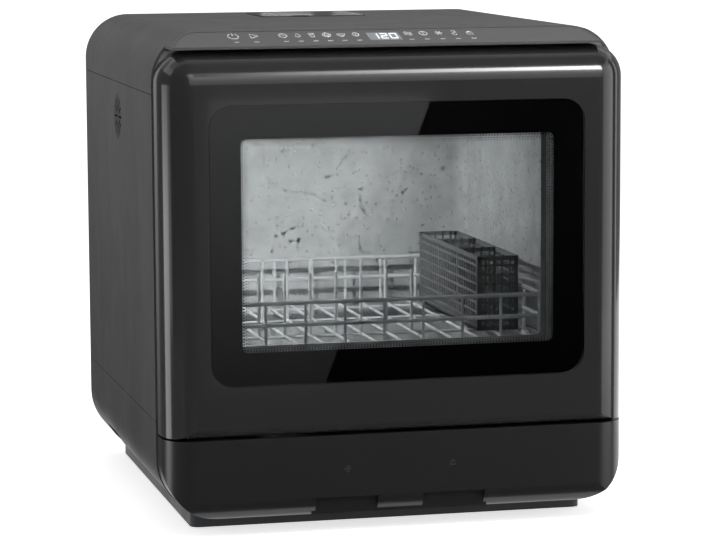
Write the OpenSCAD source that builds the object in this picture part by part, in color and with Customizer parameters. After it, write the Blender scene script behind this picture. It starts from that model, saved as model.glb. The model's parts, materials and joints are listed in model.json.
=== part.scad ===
// Countertop dishwasher: drop-down glass door, pull-out rack, two spray arms and a built-in water tank.
// Millimetres. X to the right, Z up, origin on the floor under the middle of the casing.
// Inside placed() y counts from the front plane of the door towards the back.

/* [Casing] */
// Width of the casing
body_w = 420; // [410:1:450]
// Depth from the door's front to the rear panel
body_d = 435; // [430:1:470]
// Height of the roof above the floor
body_h = 438; // [434:1:450]
// Radius of the two top corners, seen from the front
corner_r = 42; // [36:1:46]
// Radius of the two bottom corners, seen from the front
base_corner_r = 50; // [44:1:54]
// Wall of the moulded casing parts
casing_t = 2.5; // [2:0.1:3]
// Height of the seam between base shell and side panels
base_seam_z = 97; // [95:1:99]
// Distance of the seam between side panels and top cover below the roof
top_seam_drop = 54; // [50:1:60]
// Gap at every casing seam
seam = 0.5; // [0.3:0.1:0.8]
// Radius of the rolled lower edge under the door
base_roll_r = 18; // [12:1:20]

/* [Foot pan] */
// Height of the casing's underside above the floor
plinth_h = 14; // [12:1:16]
// Distance of the foot pan behind the door's front
plinth_set_back = 46; // [40:1:60]
// Distance of the foot pan from the casing's sides
plinth_side = 30.5; // [29:0.5:50]
// Height of the rubber feet under the pan
foot_h = 1; // [0.5:0.5:4]
// Radius of a rubber foot
foot_r = 12; // [8:1:16]
// Radius of the foot pan's corners, seen from above
pan_corner_r = 8; // [6:1:20]

/* [Door] */
// Height of the door's lower edge
door_z0 = 88; // [87:0.5:89]
// Height of the base front panel's upper edge
sill_z = 86; // [84:0.5:86.5]
// Gap between the door's top and the console above it
door_top_gap = 1.5; // [1:0.1:2]
// Distance of the console's underside below the roof
console_drop = 14; // [12:1:16]
// Overall thickness of the door
door_t = 44; // [42:1:45]
// Radius of the rolled side and top edges
door_edge_r = 28; // [16:1:30]
// Distance of the hinge axis behind the front and above the lower edge
hinge_r = 8; // [6:0.5:9]
// Radius of the hinge pins
hinge_pin_r = 3; // [2.5:0.1:3.5]
// How far the door drops open, in degrees
door_open = 90; // [80:1:90]

/* [Door glass] */
// Distance of the outer glass from the casing's sides
glass_side = 42; // [40:1:50]
// Mean height of the door's face above and below the outer glass
glass_border = 45.25; // [43:0.25:52]
// Corner radius of the outer glass
glass_r = 20; // [12:1:24]
// How far the glass lies below the middle of the door
glass_low = 1.05; // [0:0.05:4]
// Thickness of the outer glass
glass_t = 3.2; // [3:0.1:4]
// Width of the black border beside the clear window
window_side = 28; // [23:1:38]
// Height of the black border above and below the clear window
window_edge = 29.5; // [27:0.5:36]

/* [Tub] */
// Distance of the tub's inside from the casing's sides
tub_side = 47; // [46:1:49]
// Height of the tub floor
tub_z0 = 110; // [109:0.5:112]
// Distance of the tub's ceiling below the roof
tub_drop = 42; // [40:1:46]
// Distance of the tub's rear wall before the back of the casing
tub_rear = 56; // [53:1:59]
// Sheet of the tub
tub_t = 1.2; // [1:0.1:1.5]
// Radius of the tub's rear corners
tub_corner_r = 14; // [8:1:20]
// Depth at which the tub begins
tub_front = 50; // [50:0.5:51]

/* [Rack] */
// Height of the rack floor wires
rack_floor_z = 153; // [153:0.5:155]
// Height of the middle rail of the rack
rack_mid_z = 176.5; // [170:0.5:182]
// Height of the top rail of the rack
rack_top_z = 196; // [190:1:210]
// Distance of the rack's outer wires from the tub's sides
rack_side = 18; // [18:1:23]
// Front of the rack behind the door's front
rack_front = 60; // [59:0.5:64]
// Distance of the rack before the tub's rear wall
rack_rear = 13; // [11:1:29]
// Radius of the thick frame wires
frame_wire_r = 1.9; // [1.7:0.1:2.2]
// Radius of the thin filling wires
fill_wire_r = 1.4; // [1.1:0.1:1.5]
// Distance between the uprights of the rack
upright_pitch = 36; // [30:1:48]
// Distance between the floor wires
floor_pitch = 24; // [20:1:30]
// Height of the plate prongs above the rack floor
prong_h = 58; // [40:1:70]
// Radius of a rack wheel
wheel_r = 9; // [8:0.5:10]
// Width of a rack wheel
wheel_w = 7; // [5:0.5:8]

/* [Water parts] */
// Distance of the lower spray arm's tips from the tub's sides
lower_arm_side = 31; // [23:1:53]
// Distance of the upper spray arm's tips from the tub's sides
upper_arm_side = 38; // [23:1:63]
// Radius of the post that carries the lower spray arm
post_r = 9; // [8:0.5:10]
// Radius of the feed pipe to the upper spray arm
pipe_r = 8; // [7:0.5:8.5]
// Outer radius of the sump bowl
sump_r = 44; // [40:1:46]
// Distance of the sump's middle from the casing's right side
sump_side = 125; // [120:1:130]
// Depth of the sump's middle
sump_y = 100; // [98:1:106]
// Height of the wash pump's axis
pump_z = 62; // [58:1:64]
// Radius of the wash pump housing
pump_r = 34; // [30:1:36]
// Radius of the heater ring
heater_r = 100; // [90:1:106]
// Radius of the heater tube
heater_tube_r = 3.2; // [2.5:0.1:3.6]
// Wall of the water tank
tank_t = 2; // [1.5:0.1:2.5]
// Gap between the tub and the water tank beside it
tank_gap = 3.8; // [2:0.1:9]

/* [Fill lid and vent] */
// Width of the fill lid
lid_w = 100; // [80:1:110]
// Depth of the fill lid
lid_d = 86; // [70:1:90]
// Sideways place of the fill lid
lid_x = -6; // [-20:1:20]
// Distance of the fill lid's middle before the back of the casing
lid_rear = 85; // [80:1:90]
// Thickness of the fill lid
lid_t = 3; // [2.4:0.1:3.4]
// How far the lid stands above the roof
lid_proud = 1; // [0.5:0.1:1.2]
// How far the fill lid opens, in degrees
lid_open = 95; // [80:1:100]
// Radius of the round vent in the left side
vent_r = 20; // [16:1:21]
// Depth of the vent's middle
vent_y = 233; // [220:1:250]
// Distance of the vent's middle below the roof
vent_drop = 86; // [82:1:93]
// Radius of the drying fan's rotor
fan_r = 17.5; // [14:0.5:18]

/* [Clearances] */
// Gap between parts that only lie next to each other
gap = 0.3; // [0.2:0.05:0.4]
// Radial running clearance of a shaft or pin in its bore
running = 0.05; // [0.03:0.01:0.08]

/* [Hidden] */
$fn = 48;
eps = 0.01;
front = -body_d / 2;
half_w = body_w / 2;
casing_front = door_t + 2;          // side panels begin here
rear_y = body_d - casing_t;         // rear panel begins here
shell_back = rear_y - gap;          // casing shells end here
inner_half = half_w - casing_t;     // inside face of the side panels
plinth_w = body_w - 2 * plinth_side;
top_seam_z = body_h - top_seam_drop;
console_z = body_h - console_drop;
tub_w = body_w - 2 * tub_side;
tub_z1 = body_h - tub_drop;
tub_back = body_d - tub_rear;
rack_half_w = tub_w / 2 - rack_side;
rack_back = tub_back - rack_rear;
lower_arm_reach = tub_w / 2 - lower_arm_side;
upper_arm_reach = tub_w / 2 - upper_arm_side;
sump_x = half_w - sump_side;
lid_y = body_d - lid_rear;
vent_z = body_h - vent_drop;
roof_in = body_h - casing_t;        // inside face of the roof
floor_in = plinth_h + casing_t;     // inside face of the base shell
pan_rim_z = plinth_h + base_corner_r
    - sqrt(pow(base_corner_r, 2) - pow(plinth_w / 2 - half_w + base_corner_r, 2)) + 1;
pan_back = body_d - 15;

console_y0 = 10;                    // front lip of the console
console_y1 = 55;                    // where its slope meets the roof
console_lip = 2;                    // height of the front lip
console_side = 17;                  // casing left beside the console
console_half_w = half_w - console_side;
console_end_r = 20.5;               // of the console's ends seen from the front
slope = atan2(body_h - console_z - console_lip, console_y1 - console_y0);
slope_len = (console_y1 - console_y0) / cos(slope);
panel_half_w = console_half_w - 2.5;
panel_t = 1.8;
panel_skin = 4.5;                   // plastic left between the slope and the console's hollow
display_w = 29;
display_x = -5.5;
display_s0 = 13;                    // along the slope
display_s1 = 34;
display_t = 1;

door_w = body_w - 2;
door_z1 = console_z - door_top_gap;
glass_w = body_w - 2 * glass_side;
glass_h = door_z1 - door_z0 - 2 * glass_border;
glass_z = (door_z0 + door_z1) / 2 - glass_low;
window_w = glass_w - 2 * window_side;
window_h = glass_h - 2 * window_edge;
hinge_y = hinge_r;
hinge_z = door_z0 + hinge_r;
glass_face = 0.4;                   // glass lies this far behind the front plane
glass_back = glass_face + glass_t;
mask_t = 0.5;
mask_y = glass_back + 0.1;
seat_y = mask_y + mask_t + 0.1;     // glass seat of the outer panel
seat_t = 2.5;
seat_lip = 18;                      // how far the seat reaches under the glass edge
liner_t = 2.5;
liner_y = door_t - liner_t;
liner_z0 = hinge_z + 5;
tunnel_t = 2;
tunnel_gap = 4;                     // window tunnel is this much larger than the window
inner_glass_t = 3;
bottom_wall_y = 40;                 // the door's lower wall ends here, to swing past the gasket

frame_y = tub_front - 2.5;
frame_z0 = hinge_z + 4.2;
tub_r = 10;                         // corner radius of the tub's mouth
gasket_w = 4;
gasket_in = 2;
gasket_y = door_t + gap;

bracket_x = half_w - 38;
bracket_t = 4;
bracket_h = 7;
arm_x = bracket_x + bracket_t + 2;
arm_t = 4;
arm_z1 = hinge_z + 54;
pin_len = 16;

wheel_z = tub_z0 + 32;
rail_t = 2.2;
rail_z = wheel_z - wheel_r - gap - rail_t;
wheel_x = rack_half_w + 6;
axle_r = 2.5;
wheel_y0 = rack_front + 50;
wheel_y1 = rack_back - 26;
uprights = floor((rack_half_w - 1) / upright_pitch);
mid_y = (tub_front + tub_back) / 2 - 1.5;   // both spray arms turn about this depth
arm_hub_r = 16;
arm_z = tub_z0 + 12;
arm_wing_t = 8;
arm_wing_w = 24;
arm_bore_r = post_r + running;
collar_r = 13;
upper_z = tub_z1 - 19;
upper_pipe_x = -110;
upper_pipe_y = tub_back + 17;
upper_pipe_z = tub_z1 + 18;
pipe_wall = 2;
sump_z0 = 50;
sump_top = tub_z0 - tub_t;
filter_r = 24;
volute_y0 = mid_y - 13;
volute_y1 = volute_y0 + 28;
motor_y1 = volute_y1 + 72;
hose_r = 11;
drain_z = 74;
drain_x0 = sump_x + sump_r + gap;
drain_x1 = drain_x0 + 20;
drain_x2 = drain_x1 + 38;
drain_hose_x = drain_x0 + 11;
drain_hose_r = 6;
inlet_x = half_w - 32;
box_x0 = half_w - 92;
box_x1 = half_w - 13;
box_z0 = 52;
box_z1 = 98;
box_y = rear_y - 22.5;
spigot_r = 8;
inlet_r = 13.2;
tank_x1 = half_w - 6;
tank_x0 = tub_w / 2 + tub_t + tank_gap;
tank_y0 = 60;
tank_y1 = body_d - 35;
tank_z0 = tub_z0 - 6;
gland_x = 60 - half_w;
tank_top = roof_in - 7.5;
bridge_z0 = tub_z1 + 8;
funnel_r = 26;
funnel_z = roof_in - gap - 4;
lid_z1 = body_h + lid_proud;
lid_pivot_y = lid_y + lid_d / 2 - 2.5;
lid_pivot_z = lid_z1 - 2.5;
lid_pin_r = 1.2;
ear_x = lid_w / 2 - 1;
float_x = -125;
float_y = 80;
float_r = 14;
float_stem_r = 3;
switch_z1 = sump_top - gap;
lamp_w = 58;
lamp_y = 84;
latch_z = console_z - 19.5;
strike_t = 4.5;
grip_y0 = body_d - 143;
grip_y1 = grip_y0 + 60;
grip_z0 = 20;
grip_z1 = 44;
basket_x1 = rack_half_w - 3;
basket_x0 = basket_x1 - 39;
basket_y0 = rack_front + 60;
basket_y1 = rack_back - 36;
basket_z0 = rack_floor_z + frame_wire_r + 0.4;
basket_z1 = 224;
basket_t = 2;
cup_z0 = 107;
cup_z1 = 146;
cup_half_w = 60;
cup_y = 22;
screw_r = 1.6;
head_r = 3.2;
sill_screw_x = 47.5;
sill_screw_z = 56;
roof_screw = [half_w - 40, body_h - 33];
side_screw = [half_w - 12, 250];
base_screw = [half_w - 45, plinth_h + 26];
rear_screws = [for (p = [roof_screw, side_screw, base_screw], s = [-1, 1]) [s * p[0], p[1]]];

// ---------- helpers ----------

// Depth counted from the door's front plane
module placed() {
    translate([0, front, 0]) children();
}

// A flat outline drawn as (x, z), extruded from depth y0 to y1
module along_y(y0, y1) {
    translate([0, y1, 0]) rotate([90, 0, 0]) linear_extrude(y1 - y0) children();
}

// A flat outline drawn as (y, z), extruded from x0 to x1
module along_x(x0, x1) {
    translate([x0, 0, 0]) rotate([90, 0, 90]) linear_extrude(x1 - x0) children();
}

module box(x0, x1, y0, y1, z0, z1) {
    translate([x0, y0, z0]) cube([x1 - x0, y1 - y0, z1 - z0]);
}

module rod_x(x0, x1, y, z, r) {
    translate([x0, y, z]) rotate([0, 90, 0]) cylinder(r = r, h = x1 - x0);
}

module rod_y(x, y0, y1, z, r) {
    translate([x, y0, z]) rotate([-90, 0, 0]) cylinder(r = r, h = y1 - y0);
}

module rod_z(x, y, z0, z1, r) {
    translate([x, y, z0]) cylinder(r = r, h = z1 - z0);
}

module both_sides() {
    children();
    mirror([1, 0, 0]) children();
}

// Rectangle with round corners about its middle
module round_rect(w, h, r) {
    square([w - 2 * r, h], center = true);
    square([w, h - 2 * r], center = true);
    for (sx = [-1, 1], sz = [-1, 1])
        translate([sx * (w / 2 - r), sz * (h / 2 - r)]) circle(r);
}

module round_ring(w, h, r, t) {
    difference() {
        round_rect(w, h, r);
        round_rect(w - 2 * t, h - 2 * t, max(r - t, 0.5));
    }
}

// Front outline of the casing, drawn inwards by inset
module casing_outline(inset = 0) {
    w = half_w - inset;
    z0 = plinth_h + inset;
    z1 = body_h - inset;
    rt = corner_r - inset;
    rb = base_corner_r - inset;
    translate([-w, z0 + rb]) square([2 * w, z1 - rt - z0 - rb]);
    translate([-w + rt, z1 - rt - 1]) square([2 * (w - rt), rt + 1]);
    translate([-w + rb, z0]) square([2 * (w - rb), rb + 1]);
    for (s = [-1, 1]) {
        translate([s * (w - rt), z1 - rt]) circle(rt);
        translate([s * (w - rb), z0 + rb]) circle(rb);
    }
}

// The casing's wall, cut to the rectangle x0..x1, z0..z1
module casing_wall(x0, x1, z0, z1) {
    intersection() {
        difference() {
            casing_outline();
            casing_outline(casing_t);
        }
        translate([x0, z0]) square([x1 - x0, z1 - z0]);
    }
}

// Slab with its front face at y = y0 and every front edge and corner rolled with radius r
module pillow(w, z0, z1, y0, y1, r) {
    h = z1 - z0;
    translate([0, 0, (z0 + z1) / 2]) intersection() {
        union() {
            along_y(y0 + r, y1 + 1) round_rect(w, h, r);
            along_y(y0, y0 + r + 1) square([w - 2 * r, h - 2 * r], center = true);
            for (s = [-1, 1]) {
                rod_x(-w / 2 + r, w / 2 - r, y0 + r, s * (h / 2 - r), r);
                rod_z(s * (w / 2 - r), y0 + r, -h / 2 + r, h / 2 - r, r);
            }
            for (sx = [-1, 1], sz = [-1, 1])
                translate([sx * (w / 2 - r), y0 + r, sz * (h / 2 - r)]) sphere(r);
        }
        along_y(y0 - 1, y1) square([w + 10, h + 10], center = true);
    }
}

// ---------- base and casing ----------

module foot_pan() {
    w = plinth_w;
    d = pan_back - plinth_set_back;
    color("#1c1e22") placed() translate([0, plinth_set_back + d / 2, 0]) difference() {
        translate([0, 0, foot_h]) linear_extrude(pan_rim_z - foot_h) round_rect(w, d, pan_corner_r);
        translate([0, 0, foot_h + 2.5]) linear_extrude(body_h) round_rect(w - 6, d - 6, pan_corner_r - 3);
        translate([0, -plinth_set_back - d / 2, 0]) along_y(-1, body_d + 1) casing_outline(-gap);
        for (sx = [-1, 1], sy = [-1, 1])
            translate([sx * (w / 2 - 28), sy * (d / 2 - 28), 0]) cylinder(r = 4.2, h = 20);
    }
}

module rubber_feet() {
    d = pan_back - plinth_set_back;
    color("#141414") placed() translate([0, plinth_set_back + d / 2, 0])
        for (sx = [-1, 1], sy = [-1, 1])
            translate([sx * (plinth_w / 2 - 28), sy * (d / 2 - 28), 0]) {
                cylinder(r = foot_r, h = foot_h);
                cylinder(r = 4, h = foot_h + 4);
            }
}

module base_shell() {
    color("#484848") placed() difference() {
        union() {
            along_y(casing_front, shell_back) casing_wall(-half_w - 1, half_w + 1, 0, base_seam_z - seam / 2);
            both_sides() screw_boss(base_screw);
        }
        both_sides() box(grip_x(), half_w + 1, grip_y0, grip_y1, grip_z0, grip_z1);
        both_sides() screw_boss_bore(base_screw);
    }
}

function grip_x() = half_w - 26;

// A boss that takes one rear screw, given as [x, z], with a fin to the nearest wall
module screw_boss(p) {
    on_side = abs(p[0]) > half_w - 20;
    along_y(shell_back - 14, shell_back) intersection() {
        casing_outline(casing_t / 2);
        union() {
            translate(p) circle(5);
            if (on_side)
                translate([p[0] > 0 ? p[0] : p[0] - 20, p[1] - 2]) square([20, 4]);
            else
                translate([p[0] - 2, p[1] > body_h / 2 ? p[1] : p[1] - 40]) square([4, 40]);
        }
    }
}

module screw_boss_bore(p) {
    rod_y(p[0], shell_back - 12, shell_back + 1, p[1], screw_r + gap / 2);
}

// Block under the door: casing outline from the front, rolled side edges and a rolled lower edge
module base_front_block(inset, y1) {
    w = door_w / 2 - inset;
    rs = door_edge_r - inset;
    rb = base_roll_r - inset;
    intersection() {
        along_y(inset, y1) casing_outline(0.8 + inset);
        linear_extrude(sill_z) union() {
            translate([-w, inset + rs]) square([2 * w, y1 - inset - rs]);
            translate([-w + rs, inset]) square([2 * (w - rs), rs + 1]);
            for (s = [-1, 1]) translate([s * (w - rs), inset + rs]) circle(rs);
        }
        along_x(-half_w, half_w) union() {
            translate([inset, plinth_h + inset + rb]) square([y1 - inset, sill_z]);
            translate([inset + rb, plinth_h + inset]) square([y1 - inset - rb, rb + 1]);
            translate([inset + rb, plinth_h + inset + rb]) circle(rb);
        }
    }
}

module base_front_panel() {
    recess_w = 153;
    pad_w = 41;
    z0 = 18;
    z1 = 31;
    y1 = casing_front - seam;
    color("#2d2d2c") placed() difference() {
        union() {
            difference() {
                base_front_block(0, y1);
                difference() {
                    base_front_block(casing_t, y1 + 1);
                    box(-half_w, half_w, -1, y1 + 2, sill_z - casing_t, sill_z + 1);
                }
            }
            box(-recess_w / 2 - 3, recess_w / 2 + 3, 6, 9, floor_in - 0.5, z1 + 4);
            for (s = [-1, 1]) rod_y(s * sill_screw_x, 1, 12, sill_screw_z, 5);
        }
        for (s = [-1, 1]) {
            box(min(s * pad_w / 2, s * recess_w / 2), max(s * pad_w / 2, s * recess_w / 2), -1, 6, z0, z1);
            rod_y(s * sill_screw_x, -1, 11, sill_screw_z, screw_r + gap / 2);
            rod_y(s * sill_screw_x, -1, 1.6, sill_screw_z, head_r + 0.2);
        }
    }
}

module left_side_panel() {
    color("#545454") placed() difference() {
        union() {
            along_y(casing_front, shell_back)
                casing_wall(-half_w - 1, 0, base_seam_z + seam / 2, top_seam_z - seam / 2);
            screw_boss([-side_screw[0], side_screw[1]]);
        }
        rod_x(-half_w - 1, -inner_half + 1, vent_y, vent_z, vent_r + gap);
        screw_boss_bore([-side_screw[0], side_screw[1]]);
    }
}

module right_side_panel() {
    color("#545454") placed() difference() {
        union() {
            along_y(casing_front, shell_back)
                casing_wall(0, half_w + 1, base_seam_z + seam / 2, top_seam_z - seam / 2);
            screw_boss(side_screw);
        }
        screw_boss_bore(side_screw);
    }
}

// The console seen from the front, drawn inwards by inset
module console_outline(inset) {
    r = console_end_r - inset;
    w = console_half_w - inset;
    zc = body_h - inset - r + 1.5;
    intersection() {
        casing_outline(inset);
        translate([display_x, 0]) union() {
            translate([-w, console_z - 20]) square([2 * w, zc - console_z + 20]);
            translate([-w + r, console_z - 20]) square([2 * (w - r), body_h - console_z + 25]);
            for (s = [-1, 1]) translate([s * (w - r), zc]) circle(r);
        }
    }
}

// Places its children on the console's slope: x across, y up the slope, z out of it
module on_slope() {
    translate([0, console_y0, console_z + console_lip]) rotate([slope, 0, 0]) children();
}

module panel_plate(grow, z0, z1) {
    intersection() {
        on_slope() translate([display_x - panel_half_w - grow, 1.5 - grow, z0])
            cube([2 * (panel_half_w + grow), slope_len - 2.5 + 2 * grow, z1 - z0]);
        along_y(0, 80) console_outline(1.2 - grow);
    }
}

module top_cover() {
    color("#545454") placed() difference() {
        union() {
            along_y(casing_front, shell_back)
                casing_wall(-half_w - 1, half_w + 1, top_seam_z + seam / 2, body_h + 1);
            intersection() {
                along_y(console_y0, 58) console_outline(0);
                along_x(-half_w, half_w) polygon([[console_y0 - 1, console_z], [70, console_z],
                    [70, body_h + 5], [console_y0 - 1, body_h + 5]]);
            }
            // shuts the casing beside the console
            intersection() {
                along_y(casing_front + 0.4, casing_front + 2.8) casing_outline(casing_t / 2);
                box(-half_w, half_w, casing_front, casing_front + 5, console_z - 0.8, body_h);
            }
            both_sides() screw_boss(roof_screw);
        }
        // hollow of the console, open towards the back
        along_x(-166, 166) polygon([[30, console_z + 1.8], [casing_front, console_z + 1.8],
            [casing_front, console_z - 1], [65, console_z - 1], [65, roof_in], [console_y1 + 5, roof_in - 0.5],
            [console_y1, body_h - panel_skin], [30, console_z + console_lip + 20 * tan(slope) - panel_skin + 0.2]]);
        // slope in front of the roof
        on_slope() translate([-half_w, -20, 0]) cube([body_w, slope_len + 20, 20]);
        panel_plate(gap, -panel_t - 0.2, 5);
        translate([lid_x, lid_y, roof_in - 1]) linear_extrude(10) round_rect(lid_w + 2, lid_d + 2, 3);
        both_sides() screw_boss_bore(roof_screw);
    }
}

module rear_panel() {
    color("#3c3c3c") placed() difference() {
        along_y(rear_y, body_d) casing_outline(0.5);
        for (p = rear_screws) {
            rod_y(p[0], rear_y - 1, body_d + 1, p[1], screw_r + gap / 2);
            rod_y(p[0], body_d - 1.4, body_d + 1, p[1], head_r + gap);
        }
        box(box_x0 + 2, box_x1 - 2, rear_y - 1, body_d + 1, box_z0 + 2, box_z1 - 2);
        rod_y(gland_x, rear_y - 1, body_d + 1, pump_z, 8 + gap);
        // louvres behind the pumps
        for (i = [0 : 7]) box(-90, 60, rear_y - 1, body_d + 1, 40 + i * 7, 43 + i * 7);
    }
}

module case_screws() {
    color("#161616") placed() {
        for (p = rear_screws) {
            rod_y(p[0], shell_back - 10, body_d - 1.2, p[1], screw_r);
            rod_y(p[0], body_d - 1.3, body_d - 0.1, p[1], head_r);
        }
        for (s = [-1, 1]) {
            rod_y(s * sill_screw_x, 0.6, 10, sill_screw_z, screw_r);
            rod_y(s * sill_screw_x, 0.4, 1.5, sill_screw_z, head_r);
        }
    }
}

module side_vent_grille() {
    slots = 12;
    color("#242424") placed() translate([-half_w + 0.2, vent_y, vent_z]) rotate([0, 90, 0]) difference() {
        union() {
            cylinder(r = vent_r, h = casing_t);
            translate([0, 0, casing_t]) cylinder(r = vent_r + 3, h = 1);
        }
        for (i = [0 : slots - 1])
            rotate(i * 360 / slots) translate([6, -1, -1]) cube([vent_r - 8, 2, 6]);
        translate([0, 0, -1]) cylinder(r = 2, h = 6);
    }
}

// ---------- console ----------

module control_panel() {
    color("#6a6a6a") placed() difference() {
        panel_plate(0, -panel_t, 0);
        on_slope() translate([display_x - display_w / 2 - 0.2, display_s0 - 0.2, -display_t - 0.2])
            cube([display_w + 0.4, display_s1 - display_s0 + 0.4, 5]);
    }
}

module display_lens() {
    color("#dfe6ea") placed() on_slope()
        translate([display_x - display_w / 2, display_s0, -display_t - 0.1])
            cube([display_w, display_s1 - display_s0, display_t + 0.1]);
}

module control_board() {
    color("#2f6b3a") placed() on_slope() translate([-95, 31, -panel_skin - 2.4]) {
        cube([190, 15, 1.6]);
        for (i = [-3 : 3]) translate([95 + i * 24 - 3, 5, -1.5]) cube([6, 5, 1.6]);
    }
}

// ---------- fill lid ----------

module fill_lid() {
    x0 = lid_x - lid_w / 2;
    x1 = lid_x + lid_w / 2;
    y0 = lid_y - lid_d / 2;
    color("#5c5c5c") placed() difference() {
        union() {
            translate([lid_x, (y0 + lid_pivot_y) / 2, lid_z1 - lid_t]) linear_extrude(lid_t)
                round_rect(lid_w, lid_pivot_y - y0, 3);
            box(x0, x1, lid_pivot_y - 8, lid_pivot_y, lid_z1 - lid_t, lid_z1);
            rod_x(x0, x1, lid_pivot_y, lid_pivot_z, 2.5);
        }
        for (s = [-1, 1])
            box(min(lid_x + s * (ear_x - 3), lid_x + s * 60), max(lid_x + s * (ear_x - 3), lid_x + s * 60),
                lid_pivot_y - 3.2, lid_pivot_y + 4, lid_z1 - 6, lid_z1 + 1);
        rod_x(x0 - 1, x1 + 1, lid_pivot_y, lid_pivot_z, lid_pin_r + running);
        // finger notch in the front edge
        translate([lid_x - 14, y0, lid_z1 - lid_t - 1]) cylinder(r = 9, h = 10);
    }
}

module fill_lid_pin() {
    color("silver") placed()
        rod_x(lid_x - ear_x - 1, lid_x + ear_x + 1, lid_pivot_y, lid_pivot_z, lid_pin_r);
}

module fill_funnel() {
    plate_z = lid_pivot_z - 2.5 - gap;
    color("#3a3a3a") placed() difference() {
        union() {
            translate([lid_x, lid_y, funnel_z]) linear_extrude(plate_z - funnel_z)
                round_rect(lid_w + 14, lid_d + 16, 8);
            translate([lid_x, lid_y, funnel_z]) linear_extrude(roof_in - gap - funnel_z)
                round_ring(lid_w + 14, lid_d + 16, 8, 4);
            rod_z(lid_x, lid_y, tank_top - 3, funnel_z + 1, funnel_r);
            for (s = [-1, 1]) translate([lid_x + s * ear_x, 0, 0]) {
                rod_x(-1.2, 1.2, lid_pivot_y, lid_pivot_z, 2.2);
                box(-1.2, 1.2, lid_pivot_y - 2.2, lid_pivot_y + 2.2, funnel_z, lid_pivot_z);
            }
        }
        rod_z(lid_x, lid_y, tank_top - 4, body_h, funnel_r - 2.5);
        rod_x(lid_x - lid_w / 2 - 10, lid_x + lid_w / 2 + 10, lid_pivot_y, lid_pivot_z, lid_pin_r);
    }
}

// ---------- water tank and connections ----------

module tank_solid(inset) {
    y0 = tank_y0 + inset;
    y1 = tank_y1 - inset;
    box(tank_x0 + inset, tank_x1 - inset, y0, y1, tank_z0 + inset, tub_z1 - inset);
    box(tank_x0 + inset, tank_x0 + 18 - inset, y0, y1, tank_z0 + inset, tank_top - inset);
    box(lid_x - lid_w / 2 - 4 + inset, tank_x0 + 18 - inset, lid_y - 60 + inset, y1, bridge_z0 + inset,
        tank_top - inset);
}

module water_tank() {
    color("#c9d2d6") placed() difference() {
        tank_solid(0);
        tank_solid(tank_t);
        rod_z(lid_x, lid_y, tank_top - tank_t - 1, tank_top + 1, funnel_r + gap);
        rod_z(inlet_x, box_y - 30, tank_z0 - 4, tank_z0 + tank_t + 1, 6);
    }
}

module hose_connectors() {
    color("#2a2a2a") placed() difference() {
        union() {
            box(box_x0, box_x1, box_y, rear_y - gap, box_z0, box_z1);
        }
        box(box_x0 + 2, box_x1 - 2, box_y + 2.5, body_d, box_z0 + 2, box_z1 - 2);
        rod_y(drain_hose_x, box_y - 1, body_d, drain_z, 6);
        rod_y(inlet_x, box_y - 1, body_d, drain_z, 9);
    }
    color("#2a2a2a") placed() {
        difference() {
            rod_y(drain_hose_x, box_y + 1, body_d - 1, drain_z, spigot_r);
            rod_y(drain_hose_x, box_y - 1, body_d, drain_z, 6);
        }
        difference() {
            rod_y(inlet_x, box_y + 1, body_d - 7, drain_z, inlet_r);
            rod_y(inlet_x, box_y - 1, body_d, drain_z, 9);
        }
    }
}

module mains_gland() {
    color("#1a1a1a") placed() difference() {
        union() {
            rod_y(gland_x, rear_y - 8, body_d - 0.2, pump_z, 8);
            rod_y(gland_x, rear_y - 3, rear_y - gap, pump_z, 12);
        }
        rod_y(gland_x, rear_y - 9, body_d + 1, pump_z, 3.6);
    }
}

// A pipe along right-angled corner points, with round elbows
module pipe(points, r) {
    elbow = 0.4;                        // each bend's ball is this much larger than the pipe
    for (i = [0 : len(points) - 2]) {
        a = points[i];
        b = points[i + 1];
        lo = [min(a[0], b[0]), min(a[1], b[1]), min(a[2], b[2])];
        if (a[0] != b[0]) rod_x(lo[0], max(a[0], b[0]), a[1], a[2], r);
        if (a[1] != b[1]) rod_y(a[0], lo[1], max(a[1], b[1]), a[2], r);
        if (a[2] != b[2]) rod_z(a[0], a[1], lo[2], max(a[2], b[2]), r);
        if (i > 0) translate(a) sphere(r + elbow);
    }
}

// The bore is drawn a little past both ends so that it opens there
module hollow_pipe(points, bore_points, r, bore) {
    difference() {
        pipe(points, r);
        pipe(bore_points, bore);
    }
}

module water_hoses() {
    x1 = sump_x - sump_r - 0.4;
    color("#303030") placed() {
        difference() {
            union() {
                rod_x(0, x1, sump_y, pump_z, hose_r);
                rod_y(0, sump_y, volute_y0 - gap, pump_z, hose_r);
                rod_z(0, sump_y, pump_z - hose_r - 0.6, pump_z + hose_r + 0.6, hose_r + 0.8);
            }
            rod_x(0, x1 + 1, sump_y, pump_z, hose_r - 2.5);
            rod_y(0, sump_y, volute_y0 + 1, pump_z, hose_r - 2.5);
            rod_z(0, sump_y, pump_z - hose_r + 2, pump_z + hose_r - 2, hose_r - 2.2);
        }
        hollow_pipe([[drain_hose_x, sump_y + 18 + gap, drain_z], [drain_hose_x, box_y - gap, drain_z]],
            [[drain_hose_x, sump_y + 10, drain_z], [drain_hose_x, box_y + 1, drain_z]], drain_hose_r + 1.5,
            drain_hose_r - 1);
        hollow_pipe([[inlet_x, box_y - gap, drain_z], [inlet_x, box_y - 30, drain_z],
            [inlet_x, box_y - 30, tank_z0 - gap]], [[inlet_x, box_y + 1, drain_z],
            [inlet_x, box_y - 30, drain_z], [inlet_x, box_y - 30, tank_z0 + 1]], 9, 6.5);
    }
}

// ---------- tub ----------

module tub_outline(grow) {
    w = tub_w / 2 + grow;
    back = tub_back + grow;
    r = tub_corner_r + grow;
    difference() {
        union() {
            translate([-w, tub_front]) square([2 * w, back - r - tub_front]);
            translate([-w + r, back - r - 1]) square([2 * (w - r), r + 1]);
            for (s = [-1, 1]) translate([s * (w - r), back - r]) circle(r);
        }
    }
}

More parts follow.
